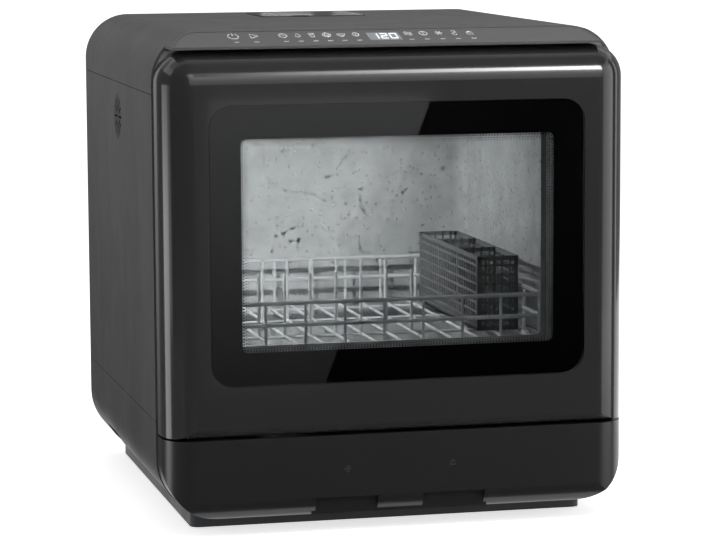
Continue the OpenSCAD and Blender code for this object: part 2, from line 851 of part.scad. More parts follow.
module tub() {
    color("#b9bcbd") placed() difference() {
        translate([0, 0, tub_z0 - tub_t]) linear_extrude(tub_z1 - tub_z0 + 2 * tub_t) tub_outline(tub_t);
        translate([0, 0, tub_z0]) linear_extrude(tub_z1 - tub_z0) union() {
            tub_outline(0);
            translate([-tub_w / 2, tub_front - 5]) square([tub_w, 10]);
        }
        rod_z(sump_x, sump_y, tub_z0 - 5, tub_z0 + 1, sump_r - 3);
        rod_z(0, mid_y, tub_z0 - 5, tub_z0 + 1, post_r + gap);
        rod_z(0, mid_y, tub_z1 - 1, tub_z1 + 5, pipe_r + gap);
        rod_z(float_x, float_y, tub_z0 - 5, tub_z0 + 1, float_stem_r + 2);
        for (s = [-1, 1]) rod_z(s * 12, mid_y + heater_r, tub_z0 - 5, tub_z0 + 1, heater_tube_r + gap);
        rod_x(-tub_w / 2 - 5, -tub_w / 2 + 1, vent_y, vent_z, 13);
        box(-lamp_w / 2 - gap, lamp_w / 2 + gap, lamp_y - 7 - gap, lamp_y + 7 + gap, tub_z1 - 1, tub_z1 + 5);
    }
}

module tub_front_frame() {
    zc = (tub_z0 + tub_z1) / 2;
    color("#3a3a3a") placed() difference() {
        along_y(frame_y, tub_front) difference() {
            intersection() {
                casing_outline(casing_t + gap);
                translate([-half_w, frame_z0]) square([2 * half_w, console_z - 2 - frame_z0]);
            }
            translate([0, zc]) round_rect(tub_w, tub_z1 - tub_z0, tub_r);
        }
        box(-9, 9, frame_y - 1, tub_front + 1, latch_z - 2, latch_z + strike_t + 4);
    }
}

module tub_gasket() {
    zc = (tub_z0 + tub_z1) / 2;
    w = tub_w + 2 * (gasket_in + gasket_w);
    h = tub_z1 - tub_z0 + 2 * (gasket_in + gasket_w);
    color("#202020") placed() translate([0, 0, zc]) {
        along_y(gasket_y + 1, frame_y) round_ring(w, h, tub_r + gasket_in + gasket_w, gasket_w);
        along_y(gasket_y, gasket_y + 1.1) translate([0, 0]) round_ring(w - 2, h - 2, tub_r + gasket_in + 3, 2);
    }
}

module rack_rails() {
    color("#9aa0a3") placed() both_sides() {
        box(rack_half_w + 4, tub_w / 2, 62, 362, rail_z, rail_z + rail_t);
        box(tub_w / 2 - 1.6, tub_w / 2, 62, 362, rail_z, rail_z + 22);
    }
}

module lamp_lens() {
    color("#f2f4f4") placed() {
        box(-lamp_w / 2, lamp_w / 2, lamp_y - 7, lamp_y + 7, tub_z1 - 1, tub_z1 + tub_t + 0.5);
        box(-lamp_w / 2 - 4, lamp_w / 2 + 4, lamp_y - 9, lamp_y + 9, tub_z1 + tub_t + 0.1, tub_z1 + tub_t + 3);
    }
}

// ---------- rack ----------

// Rack wires are drawn eight-sided
module wire_loop(z, w, y0, y1, r) {
    for (s = [-1, 1]) rod_y(s * w, y0 - r, y1 + r, z, r);
    for (y = [y0, y1]) rod_x(-w - r, w + r, y, z, r);
}

module dish_rack() {
    fr = frame_wire_r;
    wr = fill_wire_r;
    w = rack_half_w;
    side_n = 6;
    prong_y = [150, 250];
    color("#d5d8da") placed() {
        for (z = [rack_floor_z, rack_mid_z, rack_top_z]) wire_loop(z, w, rack_front, rack_back, fr, $fn = 8);
        for (i = [-uprights : uprights], y = [rack_front, rack_back])
            rod_z(i * upright_pitch, y, rack_floor_z, rack_top_z, wr, $fn = 8);
        for (i = [1 : side_n - 1], s = [-1, 1])
            rod_z(s * w, rack_front + i * (rack_back - rack_front) / side_n, rack_floor_z, rack_top_z, wr, $fn = 8);
        // floor wires run front to back, on four cross wires
        for (x = [-5 * floor_pitch : floor_pitch : 5 * floor_pitch])
            rod_y(x, rack_front, rack_back, rack_floor_z, wr, $fn = 8);
        for (y = concat(prong_y, [rack_front + 40, rack_back - 40]))
            rod_x(-w, w, y, rack_floor_z - 1.2, wr + 0.2, $fn = 8);
        // plate prongs
        for (x = [-4 * floor_pitch : floor_pitch : 2 * floor_pitch], y = prong_y)
            rod_z(x, y, rack_floor_z, rack_floor_z + prong_h, wr + 0.1, $fn = 8);
        both_sides() for (y = [wheel_y0, wheel_y1]) {
            box(w - 1.5, w + 2.8, y - 8, y + 8, wheel_z - 4, rack_floor_z + 3);
            rod_x(w, wheel_x + wheel_w + 0.5, y, wheel_z, axle_r);
        }
    }
}

module rack_wheels(y) {
    color("#c4c7c9") placed() both_sides() difference() {
        union() {
            rod_x(wheel_x, wheel_x + wheel_w, y, wheel_z, wheel_r - 0.8);
            rod_x(wheel_x + 1, wheel_x + wheel_w - 1, y, wheel_z, wheel_r);
            rod_x(wheel_x - 1.5, wheel_x + wheel_w, y, wheel_z, axle_r + 2);
        }
        rod_x(wheel_x - 5, wheel_x + 20, y, wheel_z, axle_r + running);
    }
}

module front_rack_wheels() {
    rack_wheels(wheel_y0);
}

module rear_rack_wheels() {
    rack_wheels(wheel_y1);
}

module cutlery_basket() {
    cells = 3;
    slots = 4;
    cell_l = (basket_y1 - basket_y0 - basket_t) / cells;
    pitch = (cell_l - 3) / slots;
    color("#8d9296") placed() difference() {
        box(basket_x0, basket_x1, basket_y0, basket_y1, basket_z0, basket_z1);
        for (i = [0 : cells - 1]) {
            y0 = basket_y0 + basket_t + i * cell_l;
            box(basket_x0 + basket_t, basket_x1 - basket_t, y0, y0 + cell_l - basket_t, basket_z0 + basket_t,
                basket_z1 + 1);
            for (j = [0 : slots - 1], z = [basket_z0 + 8, basket_z0 + 38])
                box(basket_x0 - 1, basket_x1 + 1, y0 + 1.5 + j * pitch, y0 + j * pitch + pitch - 0.8, z, z + 25);
        }
    }
}

// ---------- spray arms ----------

module spray_arm(reach, up) {
    difference() {
        union() {
            cylinder(r = arm_hub_r, h = arm_wing_t + 3);
            translate([0, 0, 1]) linear_extrude(arm_wing_t) {
                translate([-reach + arm_wing_w / 2, -arm_wing_w / 2])
                    square([2 * reach - arm_wing_w, arm_wing_w]);
                for (s = [-1, 1]) translate([s * (reach - arm_wing_w / 2), 0]) circle(arm_wing_w / 2);
            }
        }
        for (s = [-1, 1], i = [1 : 4])
            translate([s * (18 + i * (reach - 34) / 4), i % 2 * 8 - 4, up ? arm_wing_t - 2 : -1])
                cylinder(r = 1.6, h = 4);
        children();
    }
}

module lower_spray_arm() {
    color("#a9adb0") placed() translate([0, mid_y, arm_z])
        spray_arm(lower_arm_reach, true)
            translate([0, 0, -1]) cylinder(r = arm_bore_r, h = 30);
}

module lower_arm_post() {
    color("#8c9093") placed() difference() {
        union() {
            rod_z(0, mid_y, pump_z + pump_r + 4 + gap, arm_z + arm_wing_t + 6, post_r);
            rod_z(0, mid_y, tub_z0 + 0.1, arm_z - gap, collar_r);
            rod_z(0, mid_y, arm_z + arm_wing_t + 3 + gap, arm_z + arm_wing_t + 6, collar_r);
        }
        rod_z(0, mid_y, 90, arm_z + arm_wing_t, post_r - 3);
        for (a = [0, 90])
            translate([0, mid_y, arm_z + 5]) rotate(a)
                translate([-collar_r, -2, 0]) cube([2 * collar_r, 4, 3]);
    }
}

module upper_spray_arm() {
    color("#a9adb0") placed() translate([0, mid_y, upper_z])
        spray_arm(upper_arm_reach, false)
            translate([0, 0, -1]) cylinder(r = pipe_r + running, h = 30);
}

module upper_feed_pipe() {
    y = (volute_y0 + volute_y1) / 2;
    x0 = -pump_r - 8 - gap;
    x1 = upper_pipe_x;
    z0 = upper_z - 2.5;
    route = [[x0, y, pump_z], [x1, y, pump_z], [x1, upper_pipe_y, pump_z], [x1, upper_pipe_y, upper_pipe_z],
        [x1, mid_y, upper_pipe_z], [0, mid_y, upper_pipe_z], [0, mid_y, z0]];
    bore = [[x0 + 1, y, pump_z], [x1, y, pump_z], [x1, upper_pipe_y, pump_z], [x1, upper_pipe_y, upper_pipe_z],
        [x1, mid_y, upper_pipe_z], [0, mid_y, upper_pipe_z], [0, mid_y, z0 + 2]];
    color("#56595c") placed() {
        hollow_pipe(route, bore, pipe_r, pipe_r - pipe_wall);
        difference() {
            union() {
                rod_z(0, mid_y, z0, upper_z - gap, collar_r);
                rod_z(0, mid_y, upper_z + arm_wing_t + 3 + gap, tub_z1 - 0.1, collar_r);
            }
            rod_z(0, mid_y, z0 + 1, tub_z1 + 1, pipe_r - 0.5);
        }
    }
}

// ---------- sump, filters, pumps ----------

module sump() {
    ledge_z = tub_z0 - 4;
    color("#44484b") placed() difference() {
        union() {
            rod_z(sump_x, sump_y, sump_z0, sump_top, sump_r);
            rod_z(sump_x, sump_y, sump_top - 2, sump_top, sump_r + 5);
        }
        rod_z(sump_x, sump_y, ledge_z, tub_z0, sump_r - 3);
        rod_z(sump_x, sump_y, sump_z0 + 2.5, tub_z0, sump_r - 6);
        rod_x(sump_x - sump_r - 1, sump_x, sump_y, pump_z, hose_r - 2.5);
        rod_x(sump_x, sump_x + sump_r + 1, sump_y, drain_z, 8);
    }
}

module flat_filter() {
    color("#c7cacc") placed() difference() {
        rod_z(sump_x, sump_y, tub_z0 - 4, tub_z0 - 2.5, sump_r - 3 - gap);
        rod_z(sump_x, sump_y, tub_z0 - 5, tub_z0, filter_r + gap);
        for (a = [0 : 30 : 330])
            translate([sump_x, sump_y, tub_z0 - 5]) rotate(a) translate([filter_r + 8, 0, 0])
                cylinder(r = 2.4, h = 5);
    }
}

module filter_cup() {
    z1 = tub_z0 - 2.5 + gap;
    color("#7d8285") placed() difference() {
        union() {
            rod_z(sump_x, sump_y, 66, z1 + 1, filter_r);
            rod_z(sump_x, sump_y, z1, z1 + 2, filter_r + 4);
            box(sump_x - 20, sump_x + 20, sump_y - 3, sump_y + 3, z1 + 1, z1 + 7);
        }
        difference() {
            rod_z(sump_x, sump_y, 68, z1 + 5, filter_r - 2);
            box(sump_x - 22, sump_x + 22, sump_y - 3, sump_y + 3, z1 + 1, z1 + 7);
        }
        for (a = [0 : 45 : 315], z = [72, 88])
            translate([sump_x, sump_y, z]) rotate(a) translate([filter_r - 4, -3, 0]) cube([8, 6, 11]);
    }
}

module wash_pump_housing() {
    y = (volute_y0 + volute_y1) / 2;
    color("#3d4245") placed() difference() {
        union() {
            rod_y(0, volute_y0, volute_y1, pump_z, pump_r);
            rod_z(0, mid_y, pump_z + pump_r - 8, pump_z + pump_r + 4, post_r);
            rod_x(-pump_r - 8, -pump_r + 6, y, pump_z, 7);
        }
        rod_y(0, volute_y0 + 3, volute_y1 - 3, pump_z, pump_r - 4);
        rod_y(0, volute_y0 - 1, volute_y0 + 5, pump_z, hose_r - 2.5);
        rod_y(0, volute_y1 - 5, volute_y1 + 1, pump_z, hinge_pin_r + running);
        rod_z(0, mid_y, pump_z + pump_r - 12, pump_z + pump_r + 5, post_r - 3);
        rod_x(-pump_r - 9, -pump_r + 10, y, pump_z, 5);
    }
}

module wash_pump_motor() {
    color("#8a8f94") placed() difference() {
        union() {
            rod_y(0, volute_y1 + gap, motor_y1, pump_z, pump_r - 3);
            box(-18, 18, volute_y1 + 15, motor_y1 - 12, floor_in + gap, pump_z);
        }
        rod_y(0, volute_y1, motor_y1 - 8, pump_z, hinge_pin_r + running);
    }
}

module vanes(n, r0, r1, h) {
    for (i = [0 : n - 1]) rotate(i * 360 / n) translate([r0, -1, 0]) cube([r1 - r0, 2, h]);
}

module wash_impeller() {
    color("#e2e2de") placed() translate([0, volute_y0 + 6, pump_z]) rotate([-90, 0, 0]) {
        cylinder(r = hinge_pin_r, h = motor_y1 - 10 - volute_y0 - 6);
        translate([0, 0, 12]) cylinder(r = pump_r - 8, h = 3);
        cylinder(r = 7, h = 14);
        translate([0, 0, 2]) vanes(6, 5, pump_r - 9, 11);
    }
}

module drain_pump() {
    color("#4a4f52") placed() difference() {
        union() {
            rod_x(drain_x0, drain_x1, sump_y, drain_z, 18);
            rod_x(drain_x1 - 0.5, drain_x2, sump_y, drain_z, 16);
            box(drain_x1 + 2, drain_x2 - 27, sump_y - 10, sump_y + 10, floor_in + gap, drain_z);
            rod_y(drain_hose_x, sump_y, sump_y + 18, drain_z, drain_hose_r + 1);
        }
        rod_x(drain_x0 + 2.5, drain_x1 - 2.5, sump_y, drain_z, 15);
        rod_x(drain_x0 - 1, drain_x0 + 5, sump_y, drain_z, 8);
        rod_x(drain_x1 - 5, drain_x2 - 6, sump_y, drain_z, 2 + running);
        rod_y(drain_hose_x, sump_y + 10, sump_y + 20, drain_z, drain_hose_r - 1);
    }
}

module drain_impeller() {
    color("#e2e2de") placed() translate([drain_x0 + 4, sump_y, drain_z]) rotate([0, 90, 0]) {
        cylinder(r = 2, h = drain_x2 - drain_x0 - 12);
        cylinder(r = 4, h = 12);
        translate([0, 0, 1]) vanes(4, 3, 13, 10);
    }
}

module heater_ring() {
    z = tub_z0 + 2.8 + heater_tube_r;
    color("#6f7478") placed() {
        translate([0, mid_y, z]) rotate(97) rotate_extrude(angle = 346) translate([heater_r, 0])
            circle(heater_tube_r);
        for (s = [-1, 1]) rod_z(s * 12, mid_y + heater_r, 94, z + 1, heater_tube_r);
        for (a = [30, 150, 240, 300])
            translate([heater_r * cos(a), mid_y + heater_r * sin(a), tub_z0 + 0.05]) cylinder(r = 2.5, h = 4.5);
    }
}

module float() {
    color("#cfd2d0") placed() difference() {
        union() {
            rod_z(float_x, float_y, tub_z0 + 3, tub_z0 + 18, float_r);
            rod_z(float_x, float_y, switch_z1 - 20, tub_z0 + 4, float_stem_r);
        }
        difference() {
            rod_z(float_x, float_y, tub_z0 + 2, tub_z0 + 16, float_r - 2);
            rod_z(float_x, float_y, tub_z0, tub_z0 + 18, float_stem_r);
        }
    }
    color("#cfd2d0") placed() rod_z(float_x, float_y, tub_z0 + 15, tub_z0 + 17, float_stem_r + 2);
}

module float_switch() {
    color("#26282a") placed() difference() {
        union() {
            box(float_x - 15, float_x + 15, float_y - 10, float_y + 10, switch_z1 - 24, switch_z1);
            for (s = [-1, 1]) box(float_x + s * 8 - 1, float_x + s * 8 + 1, float_y - 3, float_y + 3,
                switch_z1 - 30, switch_z1 - 23);
        }
        rod_z(float_x, float_y, switch_z1 - 22, switch_z1 + 1, float_stem_r + running);
    }
}

// ---------- drying fan ----------

module fan_housing() {
    x0 = -inner_half + 1.3;
    x1 = x0 + 15;
    s = fan_r + 4;
    duct_x = -tub_w / 2 - tub_t - gap;
    color("#2c2c2c") placed() {
        difference() {
            box(x0, x1, vent_y - s, vent_y + s, vent_z - s, vent_z + s);
            rod_x(x0 - 1, x1 + 1, vent_y, vent_z, fan_r + 1);
        }
        difference() {
            rod_x(x1 - 1, duct_x, vent_y, vent_z, fan_r + 3);
            rod_x(x1 - 2, duct_x + 1, vent_y, vent_z, fan_r + 1);
        }
        // spider with the fixed fan shaft
        for (a = [0, 60, 120])
            translate([x1 - 2.5, vent_y, vent_z]) rotate([a, 0, 0]) translate([0, -1.2, -fan_r - 1.6])
                cube([2.5, 2.4, 2 * fan_r + 3.2]);
        rod_x(x1 - 2.5, x1, vent_y, vent_z, 8);
        rod_x(x0 + 1.5, x1, vent_y, vent_z, 1.5);
    }
}

module fan_rotor() {
    x0 = -inner_half + 3;
    color("#3c3c3c") placed() translate([x0, vent_y, vent_z]) rotate([0, 90, 0]) difference() {
        union() {
            cylinder(r = 7.5, h = 10);
            for (i = [0 : 6]) rotate(i * 360 / 7) translate([11.5, 0, 5]) rotate([40, 0, 0])
                cube([11, 1.4, 10], center = true);
        }
        translate([0, 0, -1]) cylinder(r = 1.5 + running, h = 12);
    }
}

// ---------- electrics ----------

module power_board() {
    color("#2f6b3a") placed() {
        box(-160, -124, 80, 190, floor_in + 8, floor_in + 9.6);
        for (y = [88, 180], x = [-155, -129]) rod_z(x, y, floor_in + gap, floor_in + 8.1, 2.5);
        for (y = [100, 120, 140]) box(-155, -138, y, y + 14, floor_in + 9.5, floor_in + 24);
        rod_z(-133, 165, floor_in + 9.5, floor_in + 28, 5);
        rod_z(-148, 170, floor_in + 9.5, floor_in + 24, 6);
    }
}

// ---------- latch ----------

module latch_housing() {
    z0 = latch_z - 3;
    color("#2c2c2c") placed() {
        difference() {
            box(-16, 16, tub_front, tub_front + 32, z0, z0 + 21);
            box(-8, 8, tub_front - 1, tub_front + 29, z0 + 2, z0 + 19);
        }
        rod_x(-9, 9, tub_front + 25, latch_z + 9.5, 1.5);
    }
}

module latch_lever() {
    y = tub_front + 25;
    z = latch_z + 9.5;
    color("#b0a070") placed() difference() {
        union() {
            rod_x(-4, 4, y, z, 3.2);
            box(-4, 4, tub_front + 5, y, z - 1.5, z + 1.5);
            box(-4, 4, tub_front + 5, tub_front + 9, z - 2.6, z);
        }
        rod_x(-5, 5, y, z, 1.5 + running);
    }
}

module latch_strike() {
    color("#9a9da0") placed() {
        box(-5, 5, door_t - liner_t - 1, tub_front + 11, latch_z, latch_z + strike_t);
        box(-8, 8, door_t - liner_t - 2, door_t - 0.1, latch_z - 2, latch_z + strike_t + 2);
    }
}

// ---------- door ----------

module door_slots() {
    both_sides() box(bracket_x - 1.2, bracket_x + bracket_t + 1.2, hinge_y - bracket_h / 2 - 0.4, door_t + 1,
        door_z0 - 1, hinge_z + 6);
}

// Door body drawn inwards by inset; its lower front edge is round about the hinge axis
module door_block(inset, y1) {
    difference() {
        pillow(door_w - 2 * inset, door_z0 - 100, door_z1 - inset, inset, y1, door_edge_r - inset);
        box(-half_w, half_w, -1, y1 + 1, door_z0 - 200, door_z0 + inset);
        difference() {
            box(-half_w, half_w, -1, hinge_y, door_z0 - 1, hinge_z);
            rod_x(-half_w - 1, half_w + 1, hinge_y, hinge_z, hinge_r - inset);
        }
    }
}

module door_outer_panel() {
    color("#3a3a39") placed() difference() {
        union() {
            difference() {
                door_block(0, door_t);
                door_block(casing_t, door_t + 10);
            }
            // seat behind the glass
            translate([0, 0, glass_z]) along_y(1, seat_y + seat_t) round_ring(glass_w + 10, glass_h + 10,
                glass_r + 5, 5 + seat_lip);
        }
        box(-half_w, half_w, bottom_wall_y, door_t + 1, 0, liner_z0 - 1);
        translate([0, 0, glass_z]) along_y(-1, seat_y) round_rect(glass_w + 0.8, glass_h + 0.8, glass_r + 0.4);
        door_slots();
    }
}

module door_glass() {
    color("#1a1d1f66") placed() translate([0, 0, glass_z])
        along_y(glass_face, glass_back) round_rect(glass_w, glass_h, glass_r);
}

module glass_mask() {
    color("#050505") placed() translate([0, 0, glass_z]) along_y(mask_y, mask_y + mask_t) difference() {
        round_rect(glass_w - 1, glass_h - 1, glass_r - 0.5);
        round_rect(window_w, window_h, 5);
    }
}

module inner_glass() {
    color("#c8d4d866") placed() translate([0, 0, glass_z])
        along_y(liner_y - gap - inner_glass_t, liner_y - gap)
            round_rect(window_w + 2 * tunnel_gap - 2 * gap, window_h + 2 * tunnel_gap - 2 * gap, 5);
}

module door_liner() {
    z1 = door_z1 - casing_t - gap;
    w = door_w - 2 * casing_t - 2 * gap;
    r = door_edge_r - casing_t - gap;
    tw = window_w + 2 * tunnel_gap;
    th = window_h + 2 * tunnel_gap;
    color("#7f8385") placed() difference() {
        union() {
            along_y(liner_y, door_t) intersection() {
                translate([0, z1 - 250]) round_rect(w, 500, r);
                translate([-half_w, liner_z0]) square([body_w, z1 - liner_z0]);
            }
            translate([0, 0, glass_z]) along_y(seat_y + seat_t + gap, door_t) round_ring(tw + 2 * tunnel_t,
                th + 2 * tunnel_t, 7, tunnel_t);
        }
        translate([0, 0, glass_z]) along_y(0, liner_y) round_rect(tw, th, 5);
        translate([0, 0, glass_z]) along_y(0, door_t + 1) round_rect(window_w, window_h, 5);
        box(-cup_half_w - gap, cup_half_w + gap, 0, door_t + 1, cup_z0 - gap, cup_z1 + gap);
        box(-8 - gap, 8 + gap, 0, door_t + 1, latch_z - 2 - gap, latch_z + strike_t + 2 + gap);
    }
}

module detergent_cup() {
    color("#9ba0a2") placed() difference() {
        union() {
            box(-cup_half_w, cup_half_w, liner_y, door_t, cup_z0, cup_z1);
            box(-cup_half_w, 2, cup_y, door_t, cup_z0, cup_z1);
            box(-cup_half_w - 4, cup_half_w + 4, liner_y - 1.8, liner_y - gap, cup_z0 - 1.5, cup_z1 + 0.5);
        }
        box(-cup_half_w + 3, -1, cup_y + 2, door_t - 1, cup_z0 + 5, cup_z1 - 5);
        box(-cup_half_w + 2, cup_half_w - 2, door_t - 2, door_t + 1, cup_z0 + 3, cup_z1 - 3);
    }
}

module detergent_lid() {
    z0 = cup_z0 + 3 + gap;
    z1 = cup_z1 - 3 - gap;
    color("#d8dbdc") placed() difference() {
        box(-cup_half_w + 2 + gap, 0, door_t - 1.7, door_t - 0.2, z0, z1);
        for (i = [0 : 3]) box(-14 + i * 3, -12.6 + i * 3, door_t - 0.8, door_t, z0 + 7, z1 - 7);
    }
}

// ---------- hinges ----------

module hinge_brackets() {
    color("#9a9da0") placed() both_sides() difference() {
        union() {
            rod_x(bracket_x, bracket_x + bracket_t, hinge_y, hinge_z, bracket_h / 2);
            box(bracket_x, bracket_x + bracket_t, hinge_y, 82, hinge_z - bracket_h / 2, hinge_z + bracket_h / 2);
            box(bracket_x, bracket_x + bracket_t, tub_front + 2, 82, floor_in + 4, hinge_z + bracket_h / 2);
            box(bracket_x - 12, bracket_x + bracket_t, tub_front + 2, 82, floor_in + 4, floor_in + 7);
        }
        rod_x(bracket_x - 1, bracket_x + bracket_t + 1, hinge_y, hinge_z, hinge_pin_r - 0.6);
    }
}

module hinge_pins() {
    color("silver") placed() both_sides() {
        rod_x(bracket_x - 2, bracket_x + bracket_t + 0.2, hinge_y, hinge_z, hinge_pin_r - 0.6);
        rod_x(bracket_x + bracket_t, bracket_x + pin_len - 4.5, hinge_y, hinge_z, hinge_pin_r);
        rod_x(bracket_x - 3, bracket_x - gap / 3, hinge_y, hinge_z, hinge_pin_r);
    }
}

module hinge_arms() {
    color("#8c8f92") placed() both_sides() difference() {
        union() {
            rod_x(arm_x, arm_x + arm_t, hinge_y, hinge_z, 5.2);
            box(arm_x, arm_x + arm_t, hinge_y, liner_y - gap, liner_z0 + 1, arm_z1);
            box(arm_x, arm_x + arm_t, hinge_y - 5.2, hinge_y + 16, hinge_z, arm_z1);
            box(arm_x - 14, arm_x + arm_t, liner_y - gap - 3, liner_y - gap, liner_z0 + 10, arm_z1);
        }
        rod_x(arm_x - 1, arm_x + arm_t + 1, hinge_y, hinge_z, hinge_pin_r + running);
    }
}

// ---------- assembly ----------

foot_pan();
rubber_feet();
base_shell();
base_front_panel();
left_side_panel();
right_side_panel();
top_cover();
rear_panel();
case_screws();
side_vent_grille();
control_panel();
display_lens();
control_board();
fill_lid();
fill_lid_pin();
fill_funnel();
water_tank();
hose_connectors();
mains_gland();
tub();
tub_front_frame();
tub_gasket();
rack_rails();
dish_rack();
front_rack_wheels();
rear_rack_wheels();
cutlery_basket();
lower_spray_arm();
lower_arm_post();
upper_spray_arm();
upper_feed_pipe();
sump();
flat_filter();
filter_cup();
water_hoses();
wash_pump_housing();
wash_pump_motor();
wash_impeller();
drain_pump();
drain_impeller();
heater_ring();
float();
float_switch();
fan_housing();
fan_rotor();
power_board();
lamp_lens();
latch_housing();
latch_lever();
latch_strike();
door_outer_panel();
door_glass();
glass_mask();
inner_glass();
door_liner();
hinge_brackets();
hinge_arms();
hinge_pins();
detergent_cup();
detergent_lid();
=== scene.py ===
import json
import math
import random

import bmesh
import bpy
from mathutils import Matrix, Vector


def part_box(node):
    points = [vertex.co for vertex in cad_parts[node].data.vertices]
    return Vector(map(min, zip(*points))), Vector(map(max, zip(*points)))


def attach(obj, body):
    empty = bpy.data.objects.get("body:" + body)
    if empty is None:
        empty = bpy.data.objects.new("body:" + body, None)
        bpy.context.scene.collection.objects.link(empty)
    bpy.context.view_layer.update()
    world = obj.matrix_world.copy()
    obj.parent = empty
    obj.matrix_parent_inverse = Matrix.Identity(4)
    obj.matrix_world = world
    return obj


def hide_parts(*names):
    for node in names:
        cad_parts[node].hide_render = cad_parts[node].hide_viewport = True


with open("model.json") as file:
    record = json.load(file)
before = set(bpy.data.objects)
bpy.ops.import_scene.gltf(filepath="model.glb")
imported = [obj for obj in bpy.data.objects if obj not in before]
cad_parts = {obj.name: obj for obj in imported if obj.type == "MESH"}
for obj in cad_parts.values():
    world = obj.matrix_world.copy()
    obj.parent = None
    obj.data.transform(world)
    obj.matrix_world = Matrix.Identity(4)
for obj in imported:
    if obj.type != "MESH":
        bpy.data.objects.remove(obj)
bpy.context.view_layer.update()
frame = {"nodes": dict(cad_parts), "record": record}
nodes = frame["nodes"]
record = frame["record"]
print("frame loaded:", len(nodes), "CAD nodes")

depth = 0.435            # casing, front to back; y = 0 is its middle
doorFace = -depth / 2    # front plane of the door


def fromDoor(y):         # depths are measured from the door's front plane
    return doorFace + y


camera = {
    "place": (-0.64426, -2.7573, 0.56324),
    "yaw": 13.427,       # degrees, turned towards +x
    "pitch": 7.249,      # looking down
    "roll": -0.314,
    "lens": 152.23,
}


def makeCamera():
    yaw, pitch, roll = (math.radians(camera[k]) for k in ("yaw", "pitch", "roll"))
    look = Vector((math.sin(yaw) * math.cos(pitch), math.cos(yaw) * math.cos(pitch), -math.sin(pitch)))
    level = Vector((math.cos(yaw), -math.sin(yaw), 0))
    rise = level.cross(look)
    right = level * math.cos(roll) + rise * math.sin(roll)
    up = rise * math.cos(roll) - level * math.sin(roll)
    data = bpy.data.cameras.new("productCamera")
    data.sensor_fit = "HORIZONTAL"
    data.sensor_width = 36
    data.lens = camera["lens"]
    data.clip_end = 100
    eye = bpy.data.objects.new("productCamera", data)
    bpy.context.scene.collection.objects.link(eye)
    turn = Matrix((right, up, -look)).transposed().to_4x4()
    eye.matrix_world = Matrix.Translation(camera["place"]) @ turn
    bpy.context.scene.camera = eye


makeCamera()
print("camera placed")


def addNode(tree, kind, **settings):
    made = tree.nodes.new(kind)
    for key, value in settings.items():
        if key in made.inputs.keys():
            made.inputs[key].default_value = value
        else:
            setattr(made, key, value)
    return made


def newGroup(name, inputs, outputs):
    tree = bpy.data.node_groups.new(name, "ShaderNodeTree")
    for label, value in inputs.items():
        socket = tree.interface.new_socket(label, in_out="INPUT", socket_type="NodeSocketFloat")
        socket.default_value = value
    for label in outputs:
        tree.interface.new_socket(label, in_out="OUTPUT", socket_type="NodeSocketFloat")
    return tree, addNode(tree, "NodeGroupInput"), addNode(tree, "NodeGroupOutput")


def makeGrainGroup():     # fine moulded grain, with a slow change of tone over it
    tree, given, out = newGroup("mouldedGrain", {"Scale": 1500, "Blotch": 14}, ["Height", "Tone"])
    place = addNode(tree, "ShaderNodeTexCoord")
    fine = addNode(tree, "ShaderNodeTexNoise", Detail=3.0, Roughness=0.6)
    pits = addNode(tree, "ShaderNodeTexVoronoi", feature="F1")
    blotch = addNode(tree, "ShaderNodeTexNoise", Detail=4.0, Roughness=0.55)
    mix = addNode(tree, "ShaderNodeMath", operation="MULTIPLY_ADD")
    mix.inputs[1].default_value = 0.5
    for texture in (fine, pits, blotch):
        tree.links.new(place.outputs["Object"], texture.inputs["Vector"])
    tree.links.new(given.outputs["Scale"], fine.inputs["Scale"])
    tree.links.new(given.outputs["Scale"], pits.inputs["Scale"])
    tree.links.new(given.outputs["Blotch"], blotch.inputs["Scale"])
    tree.links.new(pits.outputs["Distance"], mix.inputs[0])
    tree.links.new(fine.outputs["Fac"], mix.inputs[2])
    tree.links.new(mix.outputs[0], out.inputs["Height"])
    tree.links.new(blotch.outputs["Fac"], out.inputs["Tone"])
    return tree


def makeFilmGroup():      # faint handling marks that change how a glossy face shines
    tree, given, out = newGroup("handlingFilm", {"Low": 0.1, "High": 0.2, "Scale": 11}, ["Roughness"])
    place = addNode(tree, "ShaderNodeTexCoord")
    stretch = addNode(tree, "ShaderNodeMapping", Scale=(1.0, 1.0, 0.45), Rotation=(0.3, 0.0, 0.5))
    cloud = addNode(tree, "ShaderNodeTexNoise", Detail=6.0, Roughness=0.7, Distortion=0.6)
    spread = addNode(tree, "ShaderNodeMapRange")
    spread.inputs["From Min"].default_value = 0.35
    spread.inputs["From Max"].default_value = 0.75
    tree.links.new(place.outputs["Object"], stretch.inputs["Vector"])
    tree.links.new(stretch.outputs["Vector"], cloud.inputs["Vector"])
    tree.links.new(given.outputs["Scale"], cloud.inputs["Scale"])
    tree.links.new(cloud.outputs["Fac"], spread.inputs["Value"])
    tree.links.new(given.outputs["Low"], spread.inputs["To Min"])
    tree.links.new(given.outputs["High"], spread.inputs["To Max"])
    tree.links.new(spread.outputs["Result"], out.inputs["Roughness"])
    return tree


